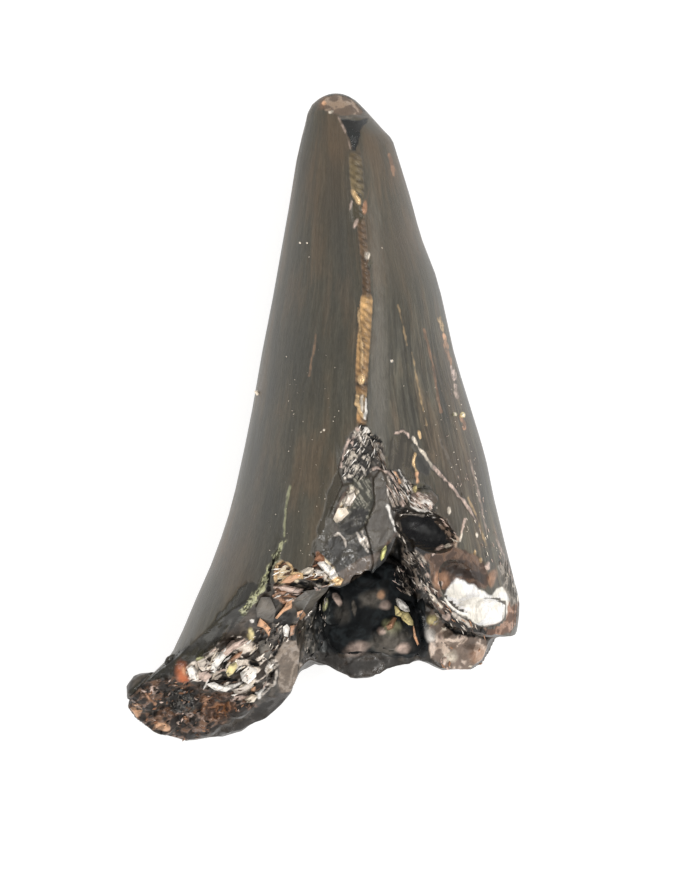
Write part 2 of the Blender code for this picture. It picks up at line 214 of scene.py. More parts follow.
# %% Helpers for noise
def scrambled(cells, seed):
    """One random number from 0 to 1 for each whole-number cell, the same on every run."""
    mixed = cells.astype(np.int64).view(np.uint64) * np.array((73856093, 19349663, 83492791), np.uint64)
    mixed = mixed[:, 0] ^ mixed[:, 1] ^ mixed[:, 2] ^ np.uint64(seed * 2654435761 % 2**32)
    for shift, factor in ((15, 0x2C1B3C6D), (12, 0x297A2D39), (15, 0x1B873593)):
        mixed = (mixed ^ (mixed >> np.uint64(shift))) * np.uint64(factor) & np.uint64(0xFFFFFFFF)
    return mixed.astype(float) / 2**32


def waves(points, size, seed=0):
    """Smooth noise from -1 to 1, with swells of size millimetres, one number or one for each axis."""
    scaled = points / size
    base = np.floor(scaled)
    part = scaled - base
    blend = part * part * (3 - 2 * part)
    total = np.zeros(len(points))
    for corner in itertools.product((0, 1), repeat=3):
        weight = np.prod(np.where(corner, blend, 1 - blend), axis=1)
        total += weight * scrambled(base + corner, seed)
    return 2 * total - 1


def grains(points, size, seed=0):
    """Each point's offset from the centre of its nearest grain, and that grain's three random numbers."""
    scaled = points / size
    base = np.floor(scaled)
    nearest = np.full(len(points), 9.0)
    offset = np.zeros((len(points), 3))
    chance = np.zeros((len(points), 3))
    for step in itertools.product((-1, 0, 1), repeat=3):
        cell = base + step
        random = np.stack([scrambled(cell, seed + k) for k in range(3)], axis=1)
        away = scaled - cell - random
        distance = np.sqrt((away * away).sum(axis=1))
        closer = distance < nearest
        nearest = np.where(closer, distance, nearest)
        offset[closer] = away[closer]
        chance[closer] = random[closer]
    return offset * size, chance


def facets(points, size, slope, seed=0):
    """Height of a surface made of tilted flat facets, each about size millimetres wide."""
    offset, chance = grains(points, size, seed)
    return ((chance[:, :2] - 0.5) * 2 * slope * offset[:, :2]).sum(axis=1)


def fade(values, zero, one):
    """A smooth step from 0 at zero to 1 at one."""
    t = np.clip((values - zero) / (one - zero), 0, 1)
    return t * t * (3 - 2 * t)


# %% [markdown]
# ## The crown's own form
# The solid was lofted from a few curves: the two sides of the outline, the cutting edge, and the heights
# of its top, waist and underside. The same curves are repeated here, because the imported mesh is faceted
# and the real enamel is perfectly smooth. Each point of the enamel is put back on the true curved form.

# %% Curves of the crown
LEFT_EDGE = (
    (16.15, 0.3), (15.9, -0.25), (15.4, -0.74), (14.4, -1.0), (13.0, -1.33), (10.9, -1.68), (8.9, -2.03),
    (5.9, -2.57), (2.9, -3.15), (0.0, -3.66), (-3.1, -4.3), (-5.1, -4.82), (-7.1, -5.52), (-9.1, -6.38),
    (-11.1, -7.25), (-12.1, -7.8), (-13.1, -8.8), (-14.1, -9.68), (-15.1, -9.9), (-16.6, -9.6),
)
RIGHT_EDGE = (
    (16.15, 0.9), (15.9, 1.45), (15.4, 1.98), (14.4, 2.88), (13.85, 3.38), (13.0, 3.68), (10.9, 4.32),
    (8.9, 4.88), (6.9, 5.63), (4.9, 6.12), (2.9, 6.58), (0.0, 7.46), (-2.1, 8.08), (-4.1, 8.5),
    (-6.1, 8.98), (-8.1, 9.48), (-9.3, 9.76), (-10.4, 9.7), (-13.1, 9.2), (-16.6, 8.6),
)
CUTTING_EDGE = (
    (16.15, 0.62), (15.2, 1.05), (14.4, 1.4), (11.3, 1.68), (7.3, 2.08), (5.8, 2.12), (1.8, 1.88),
    (-4.0, 1.95), (-10.0, 1.9), (-16.6, 1.4),
)
TOP = (
    (16.15, 5.35), (15.9, 5.75), (15.4, 6.2), (14.4, 6.75), (13.0, 7.3), (10.0, 8.25), (6.0, 9.3),
    (2.0, 10.25), (-2.0, 11.15), (-6.0, 11.95), (-10.0, 12.5), (-16.6, 12.9),
)
WAIST = ((16.15, 5.0), (13.0, 5.0), (8.0, 4.85), (0.0, 4.9), (-8.0, 5.1), (-12.0, 4.8), (-16.6, 4.2))
UNDERSIDE = (
    (16.15, 4.65), (15.4, 3.95), (13.0, 2.85), (10.0, 1.75), (7.0, 0.95), (4.0, 0.35), (1.0, -0.05),
    (-2.0, -0.16), (-13.0, -0.16), (-16.6, -0.1),
)
CREST_SHARPNESS, SHOULDER_FULLNESS, BELLY_FULLNESS = 1.38, 1.85, 2.5
BACK_EDGE_ANGLE, BACK_EDGE_WIDTH, BACK_EDGE_HEIGHT = np.radians(222), np.radians(9), 0.24
TIP_FACET_POINT = np.array((1.0, 15.62, 5.95))
TIP_FACET_NORMAL = np.array((-0.08, 0.5, 0.86))
# Rounds of Newton's method that put a point on the crest's curve
CREST_ROUNDS = 9


def along(curve, y):
    """The values at y of a smooth curve through (y, value) points."""
    places, values = np.array(sorted(curve)).T
    before, after = np.r_[0, np.arange(len(places) - 1)], np.r_[np.arange(1, len(places)), len(places) - 1]
    slopes = (values[after] - values[before]) / (places[after] - places[before])
    y = np.clip(y, places[0], places[-1])
    k = np.clip(np.searchsorted(places, y, "right") - 1, 0, len(places) - 2)
    span = places[k + 1] - places[k]
    t = (y - places[k]) / span
    start = values[k] * (1 + 2 * t) * (1 - t) ** 2 + span * slopes[k] * t * (1 - t) ** 2
    return start + values[k + 1] * t * t * (3 - 2 * t) - span * slopes[k + 1] * t * t * (1 - t)


def in_section(points):
    """Each point's place in its section, as signed shares of the crown's half width and half height."""
    x, y, z = points.T
    mid, waist = along(CUTTING_EDGE, y), along(WAIST, y)
    across = x - mid
    half_width = np.where(across < 0, mid - along(LEFT_EDGE, y), along(RIGHT_EDGE, y) - mid)
    half_height = np.where(z >= waist, along(TOP, y) - waist, waist - along(UNDERSIDE, y))
    return across / half_width, (z - waist) / half_height, half_width, half_height


def outer_form(points):
    """The points moved straight out from the middle of their section onto the whole crown's surface."""
    u, v, half_width, half_height = in_section(points)
    flat_u, flat_v = np.maximum(np.abs(u), 1e-4), np.maximum(np.abs(v), 1e-4)
    grow = 1 / np.maximum(flat_u, flat_v)
    for _ in range(CREST_ROUNDS):
        wide, tall = (grow * flat_u) ** CREST_SHARPNESS, (grow * flat_v) ** SHOULDER_FULLNESS
        grow *= 1 - (wide + tall - 1) / (CREST_SHARPNESS * wide + SHOULDER_FULLNESS * tall)
    belly = (flat_u**BELLY_FULLNESS + flat_v**BELLY_FULLNESS) ** (-1 / BELLY_FULLNESS)
    grow = np.where(v >= 0, grow, belly)
    placed = points.copy()
    placed[:, 0] += u * (grow - 1) * half_width
    placed[:, 2] += v * (grow - 1) * half_height
    angle = 2 * np.pi - np.arccos(np.clip(u * grow, -1, 1))
    back_edge = BACK_EDGE_HEIGHT * np.exp(-(((angle - BACK_EDGE_ANGLE) / BACK_EDGE_WIDTH) ** 2))
    back_edge *= np.minimum(1, half_height / 2) * (v < 0)
    placed[:, 0] += back_edge * np.cos(BACK_EDGE_ANGLE)
    placed[:, 2] += back_edge * np.sin(BACK_EDGE_ANGLE)
    over_facet = (placed - TIP_FACET_POINT) @ TIP_FACET_NORMAL
    placed[:, 2] -= np.maximum(over_facet, 0) / TIP_FACET_NORMAL[2]
    placed[:, 2] = np.maximum(placed[:, 2], 0)
    return placed


# %% [markdown]
# ## A fine skin over the solid
# A voxel remesh wraps the solid in small even squares, about one pixel of the photograph wide. That is
# enough to model the chips and folds of the break as real shape. Where a point lies close to the whole
# crown's form it is enamel and is put exactly on it; where it lies deeper, something broke off and the
# point is bare.

# %% Helpers for the skin
SKIN_VOXEL = 0.07
ENAMEL_REACH = 0.11
RIDGE_REACH, RIDGE_ROOM, RIDGE_END = 0.25, 0.5, -0.4
# The worn tip counts as enamel to a greater depth, and is rounded by averaging
TIP_WEAR_FROM, TIP_WEAR_REACH = 12.8, 0.6
TIP_ROUNDING_FROM, TIP_ROUNDING_FULL, TIP_ROUNDS = 13.9, 14.6, 40


def skin_over(node, voxel):
    """A mesh of small even squares over a CAD node, in millimetres."""
    shape = bmesh.new()
    shape.from_mesh(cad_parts[node].data)
    bmesh.ops.remove_doubles(shape, verts=shape.verts, dist=1e-7)
    bmesh.ops.scale(shape, vec=(1 / MM, 1 / MM, 1 / MM), verts=shape.verts)
    rough = bpy.data.meshes.new(node + "_rough")
    shape.to_mesh(rough)
    shape.free()
    holder = bpy.data.objects.new(node + "_holder", rough)
    bpy.context.scene.collection.objects.link(holder)
    remesh = holder.modifiers.new("skin", "REMESH")
    remesh.mode = "VOXEL"
    remesh.voxel_size = voxel
    ready = holder.evaluated_get(bpy.context.evaluated_depsgraph_get())
    fine = bpy.data.meshes.new_from_object(ready)
    bpy.data.objects.remove(holder)
    return fine


def points_of(mesh):
    flat = np.empty(len(mesh.vertices) * 3, np.float32)
    mesh.vertices.foreach_get("co", flat)
    return flat.reshape(-1, 3).astype(float)


def normals_of(mesh, points):
    """The outward direction at each point, once the mesh's points are moved to these."""
    mesh.vertices.foreach_set("co", points.astype(np.float32).ravel())
    mesh.update()
    flat = np.empty(len(mesh.vertices) * 3, np.float32)
    mesh.vertex_normals.foreach_get("vector", flat)
    return flat.reshape(-1, 3).astype(float)


def edges_of(mesh):
    flat = np.empty(len(mesh.edges) * 2, np.int32)
    mesh.edges.foreach_get("vertices", flat)
    return flat.reshape(-1, 2)


def spread(values, edges, times):
    """Averages each point's value with its neighbours', a number of times."""
    a, b = edges.T
    count = np.bincount(a, minlength=len(values)) + np.bincount(b, minlength=len(values))
    for _ in range(times):
        total = np.bincount(a, values[b], len(values)) + np.bincount(b, values[a], len(values))
        values = 0.5 * values + 0.5 * total / np.maximum(count, 1)
    return values


# %% Wrap the tooth and find its enamel
tooth_mesh = skin_over("tooth", SKIN_VOXEL)
tooth_edges = edges_of(tooth_mesh)
tooth = points_of(tooth_mesh)
whole = outer_form(tooth)
on_ridge = np.abs(tooth[:, 0] - along(CUTTING_EDGE, tooth[:, 1])) < RIDGE_ROOM
on_ridge &= (tooth[:, 1] > RIDGE_END) & (tooth[:, 2] > along(WAIST, tooth[:, 1]))
near_tip = on_ridge & (tooth[:, 1] > TIP_WEAR_FROM)
enamel_reach = ENAMEL_REACH + RIDGE_REACH * on_ridge + TIP_WEAR_REACH * near_tip
enamel = np.linalg.norm(whole - tooth, axis=1) < enamel_reach
tooth[enamel] = whole[enamel]
bare = 1.0 - enamel
softened = np.stack([spread(tooth[:, k], tooth_edges, TIP_ROUNDS) for k in range(3)], axis=1)
tooth += (softened - tooth) * fade(tooth[:, 1], TIP_ROUNDING_FROM, TIP_ROUNDING_FULL)[:, None]
print(len(tooth), "points,", round(100 * enamel.mean()), "percent of them enamel")

# %% [markdown]
# ## The cutting edge
# A narrow ridge runs down the crown, beaded with fine serrations that lean to one side like the lay of a
# rope. It is worn narrow near the tip, chipped in two places, and stops where the wall is broken. The skin
# is fine enough to raise it as real shape, from its distance to the edge's curve.

# %% Raise the ridge
# Place along the tooth, and the ridge's half width there
RIDGE_HALF_WIDTH = (
    (14.0, 0.1), (13.2, 0.32), (11.6, 0.36), (11.0, 0.3), (9.4, 0.24), (6.2, 0.24), (5.8, 0.33), (1.6, 0.33),
    (0.6, 0.24), (-0.6, 0.3),
)
# Photograph rows and the ridge's colour there
RIDGE_COLOURS = (
    (150, "#5d513c"), (165, "#75684c"), (190, "#75684c"), (228, "#5f4b38"), (250, "#6b5742"),
    (272, "#614c38"), (294, "#5f4a35"), (301, "#d3ab76"), (340, "#bb9563"), (376, "#a07e56"),
    (384, "#3c3128"), (391, "#8a6a45"), (400, "#dcb783"), (418, "#b98f60"), (426, "#6b543e"),
)
RIDGE_TOP = 13.3
RIDGE_HEIGHT = 0.15
SERRATION_SPACING = 0.36
SERRATION_LEAN = 0.6
SERRATION_DEPTH = 0.05
# How far the beads wander from their spacing, in turns' angle, and over what length
SERRATION_WANDER, WANDER_LENGTH = 3.0, 0.8


def ridge_share(points):
    """How much of the ridge each point lies on, from 0 beside it to 1 on its crest."""
    x, y, z = points.T
    from_edge = x - along(CUTTING_EDGE, y)
    half = along(RIDGE_HALF_WIDTH, y)
    ends = fade(y, RIDGE_END - 0.2, RIDGE_END + 0.3) * fade(-y, -RIDGE_TOP - 0.2, -RIDGE_TOP + 0.6)
    above = z > along(WAIST, y)
    return np.sqrt(np.clip(1 - (from_edge / half) ** 2, 0, 1)) * ends * above


ridge = ridge_share(tooth) * enamel
beside_edge = tooth[:, 0] - along(CUTTING_EDGE, tooth[:, 1])
bead_angle = 2 * np.pi * (tooth[:, 1] + SERRATION_LEAN * beside_edge) / SERRATION_SPACING
bead_wave = np.sin(bead_angle + SERRATION_WANDER * waves(tooth, WANDER_LENGTH, 3))
tooth[:, 2] += ridge * (RIDGE_HEIGHT + SERRATION_DEPTH * bead_wave)
print("the ridge covers", int((ridge > 0.1).sum()), "points")

# %% [markdown]
# ## What the break is made of
# Where the enamel has gone, the tooth shows stained dentine and the minerals that filled it: pale calcite
# films, silvery and brassy sulphide skins, and copper-brown and rusty iron oxides. The black of its crevices
# and pits is painted shade, and its whitest films are partly painted highlight. All these could be painted
# as an image, but they are laid out as a mapmaker would. **Zones** are areas with a grain of their own,
# **lines** are cracks, folds and raised edges, and **spots** are single lumps, chips and flakes. Each
# changes the shape as well as the colour. Places are pixels of the photograph, and sizes are millimetres.

# %% Kinds of mark
from typing import NamedTuple


class Zone(NamedTuple):
    dark: str
    light: str
    light_share: float
    grain: tuple
    lean: float
    slope: float
    metal: float
    outline: tuple


class Line(NamedTuple):
    mineral: str
    half_width: float
    rise: float
    points: tuple
    strength: float = 1.0


class Spot(NamedTuple):
    mineral: str
    half_sizes: tuple
    turn: float
    rise: float
    centre: tuple
    strength: float = 1.0
    softness: float = 0.15


# Each mineral's colour, roughness and metallic share. Films and cleavage faces are smooth and glint,
# sulphide skins have a metal's tinted shine, and oxides are dull. The whitest film is partly painted
# highlight, the painted sheen grey is a painted reflection on the crown, and black shade is painted shade
# in crevices, pits and gaps
MINERALS = {
    "calcite": ("#f4e9d8", 0.25, 0.0),
    # Partly a pale film and partly painted highlight, made as bright as the glints on the break
    "white_film_and_glint": ("#fefbf6", 0.22, 0.0),
    "silver_film": ("#ddd4ca", 0.2, 0.3),
    "pink_film": ("#d9c2b6", 0.3, 0.15),
    "copper_film": ("#b88d70", 0.3, 0.35),
    "gold_film": ("#edcb9a", 0.22, 0.35),
    "brass_crystal": ("#f0e1a6", 0.32, 0.0),
    "apple_green": ("#c6c79a", 0.4, 0.0),
    "leaf_yellow_green": ("#e3e39a", 0.35, 0.0),
    "green_crust": ("#95977a", 0.5, 0.0),
    "iron_stain": ("#cf7446", 0.5, 0.0),
    # A painted reflection: the grey sheen of an overhead lamp on the polished crown
    "painted_sheen_grey": ("#74716a", 0.3, 0.0),
    "orange_ochre": ("#e3b28c", 0.4, 0.0),
    "rust": ("#8f654b", 0.6, 0.0),
    "brown_oxide": ("#5f493b", 0.5, 0.0),
    "grey_dentine": ("#716c65", 0.4, 0.0),
    "olive_dentine": ("#4b4738", 0.35, 0.0),
    "brown_enamel": ("#63513f", 0.4, 0.0),
    "slate_enamel": ("#3d4141", 0.35, 0.0),
    "slate": ("#3b3d3f", 0.35, 0.0),
    # Painted shade: the near-black of crevices, pits and dark gaps, and the band beside raised lines
    "black_shade": ("#0d0e10", 0.9, 0.0),
}
print(len(MINERALS), "minerals")

# %% Zones of the broken near wall
# Each zone: colour of its troughs and of its crests, the crests' share, length and width of its folds in mm,
# their lean in degrees, how steep they are, metallic share, and outline
WALL_ZONES = {
    "old_surface": Zone("#3c3930", "#46423a", 0.4, (1.0, 0.2), 80, 0.03, 0.0, (
        (342, 462), (350, 484), (340, 500), (336, 520), (330, 545), (332, 572), (318, 576), (312, 552),
        (320, 520), (330, 486))),
    "crumble": Zone("#1b1816", "#c9c0b4", 0.28, (0.55, 0.12), 62, 0.8, 0.4, (
        (361, 424), (369, 430), (381, 441), (384, 452), (372, 462), (373, 470), (368, 476), (352, 484),
        (344, 480), (341, 470), (343, 455), (349, 440), (355, 430))),
    "dark_facet": Zone("#2f2a26", "#8a8076", 0.3, (0.9, 0.14), -58, 0.35, 0.1, (
        (370, 438), (380, 442), (386, 455), (387, 471), (378, 467), (373, 462), (369, 450))),
    "slab": Zone("#4f4b46", "#5b5751", 0.5, (0.8, 0.3), 80, 0.02, 0.0, (
        (368, 476), (374, 470), (386, 474), (387, 492), (388, 508), (393, 522), (396, 534), (391, 541),
        (383, 549), (374, 553), (369, 540), (366, 528), (371, 515), (374, 498), (374, 485))),
    "scoop": Zone("#3c3c33", "#8b887a", 0.3, (0.6, 0.13), 122, 0.3, 0.1, (
        (355, 478), (366, 477), (373, 486), (374, 498), (371, 515), (365, 528), (352, 536), (340, 530),
        (334, 520), (338, 508), (344, 495), (350, 484))),
    # The scoop's dark bottom is painted shade, and its bright left rim is painted highlight over pale films
    "scoop_shade": Zone("#141311", "#38352e", 0.3, (0.5, 0.14), 30, 0.25, 0.0, (
        (338, 523), (347, 514), (358, 506), (368, 511), (366, 526), (352, 536), (341, 531))),
    "scoop_highlight": Zone("#6d6353", "#f3e8d3", 0.5, (0.45, 0.11), 58, 0.6, 0.3, (
        (350, 486), (358, 491), (353, 504), (346, 514), (338, 522), (334, 518), (338, 507), (344, 495))),
    "lower_face": Zone("#232220", "#4a4844", 0.25, (0.9, 0.2), -60, 0.06, 0.1, (
        (334, 536), (340, 531), (352, 537), (365, 529), (370, 540), (374, 553), (383, 550), (380, 558),
        (372, 566), (360, 576), (347, 584), (334, 587), (328, 580), (336, 574), (330, 565), (322, 556),
        (324, 545))),
    "lower_face_stain": Zone("#5b514a", "#6f645b", 0.4, (0.5, 0.3), 40, 0.05, 0.0, (
        (340, 572), (352, 564), (366, 556), (380, 552), (378, 561), (362, 576), (347, 584), (335, 586))),
    "fan": Zone("#262220", "#bdb0a4", 0.4, (1.3, 0.1), -62, 0.8, 0.3, (
        (388, 472), (400, 468), (408, 480), (415, 486), (412, 500), (400, 507), (390, 508), (388, 490))),
    "tip_wear": Zone("#6f5f52", "#9d8977", 0.4, (0.5, 0.3), 10, 0.1, 0.0, (
        (321, 103), (326, 97), (335, 95), (346, 97), (356, 103), (364, 112), (361, 116), (345, 116),
        (333, 114),
        (326, 110))),
    "tip_shield": Zone("#14181b", "#23282b", 0.3, (0.6, 0.4), 80, 0.03, 0.0, (
        (341, 119), (355, 120), (368, 118), (363, 127), (359, 138), (356, 151), (352, 150), (347, 133))),
    "panel": Zone("#37332b", "#4b463b", 0.35, (1.6, 0.12), 84, 0.1, 0.0, (
        (389, 440), (396, 434), (404, 433), (412, 438), (415, 452), (414, 465), (417, 478),
        (408, 481), (398, 471),
        (388, 470))),
    "slate_band": Zone("#3a3a38", "#4c4a46", 0.3, (0.8, 0.2), -60, 0.2, 0.0, (
        (417, 446), (424, 452), (431, 466), (428, 474), (420, 472), (416, 460))),
    # Painted shade: the dark of a narrow gap in the wall
    "gap_shade": Zone("#15130f", "#3a332c", 0.3, (0.4, 0.15), 10, 0.4, 0.0, (
        (390, 508), (400, 506), (412, 508), (424, 513), (436, 517), (430, 520), (412, 515), (398, 518))),
    # Painted shade: the near-black inside a deep pit
    "pit_shade": Zone("#1a1c1f", "#27282b", 0.3, (0.8, 0.3), 30, 0.12, 0.0, (
        (399, 520), (410, 514), (422, 514), (436, 518), (447, 528), (455, 541), (448, 546), (436, 551),
        (424, 556), (410, 549), (401, 538))),
    "hollow_right_lip": Zone("#3a3029", "#b39c8a", 0.3, (0.5, 0.16), -50, 0.6, 0.1, (
        (436, 514), (448, 521), (460, 538), (456, 548), (448, 542), (444, 532), (434, 522))),
    "hollow_left_lip": Zone("#2b2725", "#8f857b", 0.3, (0.5, 0.2), -60, 0.5, 0.1, (
        (394, 518), (401, 522), (404, 538), (412, 548), (424, 554), (420, 561), (404, 556), (396, 541))),
    "glossy_patch": Zone("#4d423c", "#fbf0e6", 0.45, (0.6, 0.16), -40, 0.8, 0.3, (
        (411, 492), (420, 490), (430, 496), (436, 508), (432, 516), (422, 511), (411, 507), (408, 499))),
    # Painted shade: the near-black round a small flake at the lip of the hollow
    "surround_shade": Zone("#0b0b0c", "#2e2c2a", 0.2, (0.3, 0.2), 50, 0.5, 0.0, (
        (396, 536), (402, 541), (405, 556), (400, 566), (392, 572), (380, 568), (376, 562), (384, 556),
        (388, 546))),
    "fleck_slope": Zone("#1d1b1a", "#b3a598", 0.25, (0.6, 0.13), -55, 0.7, 0.2, (
        (402, 548), (424, 557), (434, 566), (432, 585), (425, 592), (410, 596), (396, 590), (388, 576),
        (402, 565))),
    "hood": Zone("#4a372c", "#6d5545", 0.4, (0.9, 0.6), 30, 0.12, 0.0, (
        (424, 557), (435, 550), (451, 547), (465, 549), (478, 557), (486, 566), (489, 578), (485, 590),
        (471, 585), (465, 581), (457, 579), (451, 585), (446, 590), (440, 588), (432, 582), (430, 568))),
    "hood_shade": Zone("#2c1f18", "#4a372b", 0.4, (0.7, 0.4), 20, 0.04, 0.0, (
        (443, 563), (452, 556), (464, 560), (477, 566), (485, 577), (483, 583), (470, 579), (457, 576),
        (447, 571))),
    # Painted highlight: the lobe's blown-out glint, laid in as near-white colour over a glossy face
    "lobe_painted_highlight": Zone("#fbf8f0", "#ffffff", 0.8, (0.9, 0.6), 20, 0.03, 0.0, (
        (446, 590), (451, 585), (457, 579), (465, 581), (471, 585), (484, 590), (489, 594), (492, 595),
        (497, 589), (503, 587), (507, 594), (510, 603), (508, 613), (502, 621), (495, 624), (486, 626),
        (474, 624), (467, 617), (458, 614), (446, 605), (444, 598))),
    "lobe_rim": Zone("#6f503d", "#a57c62", 0.4, (0.5, 0.25), 40, 0.2, 0.0, (
        (508, 600), (512, 604), (519, 602), (518, 622), (510, 633), (495, 637), (487, 636), (484, 628),
        (495, 625), (503, 621), (508, 612))),
    "lobe_side": Zone("#5f5a52", "#8f8578", 0.35, (0.6, 0.2), 75, 0.2, 0.0, (
        (498, 566), (508, 560), (515, 578), (520, 600), (512, 606), (508, 594), (503, 586))),
    "under_lobe": Zone("#1d1a18", "#6b564a", 0.25, (0.5, 0.15), -50, 0.6, 0.2, (
        (424, 590), (432, 584), (441, 590), (444, 600), (450, 608), (460, 616), (470, 620), (478, 626),
        (487, 630), (487, 638), (470, 636), (455, 633), (447, 626), (438, 612), (428, 600))),
    "far_lump": Zone("#8d7d72", "#f0dccc", 0.35, (0.7, 0.5), 60, 0.15, 0.0, (
        (431, 607), (438, 614), (446, 628), (456, 635), (487, 639), (489, 655), (482, 666), (470, 672),
        (445, 672), (431, 664), (428, 640))),
}
print(len(WALL_ZONES), "zones on the wall")

# %% Zones of the foot and the hollow
FOOT_ZONES = {
    "dark_enamel": Zone("#1b1b16", "#302f27", 0.4, (1.5, 0.16), 62, 0.05, 0.0, (
        (262, 586), (240, 622), (222, 640), (205, 655), (196, 662), (188, 668), (150, 684), (132, 700),
        (128, 690), (160, 664), (190, 645), (208, 628), (228, 602), (247, 580))),
    "crust_band": Zone("#55563f", "#bcbe99", 0.55, (0.4, 0.14), 60, 0.4, 0.0, (
        (282, 540), (286, 541), (281, 552), (277, 562), (272, 574), (267, 584), (262, 592),
        (255, 603), (248, 611),
        (242, 616), (240, 611), (246, 603), (253, 594), (259, 585), (264, 575), (269, 563), (275, 552))),
    "silver_mass": Zone("#33281f", "#fff3e6", 0.5, (1.3, 0.3), 40, 0.9, 0.3, (
        (186, 666), (197, 660), (208, 655), (220, 641), (233, 636), (246, 639), (258, 645), (270, 652),
        (278, 662), (276, 684), (268, 693), (256, 699), (240, 702), (225, 692), (210, 690), (196, 684),
        (187, 678))),
    "crumbly_end": Zone("#211813", "#7a5e4c", 0.2, (0.5, 0.26), 30, 0.7, 0.1, (
        (126, 702), (140, 688), (152, 680), (170, 677), (186, 680), (200, 688), (212, 692), (232, 694),
        (250, 702), (258, 707), (240, 714), (225, 724), (205, 736), (185, 742), (160, 734), (138, 722))),
    "gritty_centre": Zone("#262525", "#55524f", 0.3, (0.2, 0.16), 0, 0.7, 0.0, (
        (166, 692), (178, 688), (192, 694), (197, 705), (190, 714), (175, 712), (166, 704))),
    "rusty_patch": Zone("#4f3423", "#94694a", 0.35, (0.3, 0.2), 20, 0.6, 0.0, (
        (203, 697), (215, 694), (232, 698), (236, 708), (226, 718), (208, 720), (202, 712))),
    "foot_side": Zone("#26221f", "#35302c", 0.4, (0.9, 0.4), 35, 0.12, 0.0, (
        (225, 724), (240, 714), (258, 707), (270, 698), (284, 691), (292, 690), (287, 707), (272, 721),
        (255, 730), (225, 736), (205, 741))),
    "hollow_side": Zone("#7f7368", "#a3968a", 0.45, (0.6, 0.3), 75, 0.12, 0.0, (
        (274, 655), (283, 640), (293, 636), (301, 648), (304, 660), (298, 678), (291, 692), (280, 695),
        (278, 680), (280, 665))),
    "dark_middle": Zone("#1c1917", "#6f675f", 0.25, (0.6, 0.2), 60, 0.5, 0.2, (
        (262, 624), (272, 622), (290, 626), (298, 620), (302, 632), (296, 640), (283, 642), (274, 656),
        (270, 652), (258, 645), (250, 640))),
    "flat_chip_right": Zone("#605e59", "#6c6a65", 0.5, (0.8, 0.6), 20, 0.08, 0.0, (
        (294, 601), (306, 592), (329, 587), (326, 593), (316, 603), (312, 611), (304, 617), (298, 611))),
    "flat_chip_left": Zone("#55524d", "#625f59", 0.5, (0.8, 0.6), 70, 0.08, 0.0, (
        (261, 597), (270, 597), (276, 611), (273, 622), (257, 617), (256, 608))),
    "pink_fold": Zone("#5d4638", "#f0d6c4", 0.45, (1.0, 0.18), 12, 0.8, 0.3, (
        (274, 587), (285, 585), (304, 589), (308, 593), (300, 598), (288, 603), (276, 599))),
    "foil": Zone("#54361c", "#fff0d2", 0.5, (1.1, 0.24), 28, 0.9, 0.3, (
        (273, 566), (280, 561), (288, 562), (294, 568), (300, 572), (312, 566), (316, 556), (324, 558),
        (334, 567), (337, 576), (341, 580), (332, 586), (318, 583), (305, 580), (292, 585), (275, 585))),
    # Painted shade: the near-black of a deep hole in the foot
    "foot_hole_shade": Zone("#0d0c0c", "#231f1d", 0.2, (0.3, 0.2), 0, 0.3, 0.0, (
        (276, 612), (284, 612), (291, 610), (294, 618), (289, 627), (278, 629), (272, 622))),
    "hollow_left_wall": Zone("#25241f", "#6d675d", 0.25, (0.5, 0.2), 75, 0.3, 0.0, (
        (298, 616), (304, 618), (314, 611), (326, 592), (334, 588), (331, 610), (329, 640), (332, 654),
        (318, 662), (303, 657), (302, 640))),
    "hollow_left_shade": Zone("#171b1d", "#4b4e4e", 0.15, (0.5, 0.2), 75, 0.25, 0.0, (
        (318, 602), (326, 590), (338, 585), (342, 600), (338, 640), (338, 656), (322, 660),
        (316, 642), (314, 618))),
    "far_rim": Zone("#2c2926", "#3d3732", 0.4, (0.9, 0.4), 10, 0.12, 0.0, (
        (300, 658), (318, 652), (345, 656), (365, 654), (400, 660), (425, 654), (446, 668), (440, 690),
        (353, 690), (333, 680), (305, 668))),
    # Painted shade: the dark of the deep pulp hollow
    "hollow_shade": Zone("#14181b", "#22282b", 0.3, (0.5, 0.4), 30, 0.12, 0.0, (
        (331, 588), (350, 583), (372, 568), (385, 562), (398, 572), (402, 592), (425, 602), (430, 640),
        (427, 656), (400, 659), (365, 653), (345, 655), (332, 650), (329, 640), (330, 610))),
}

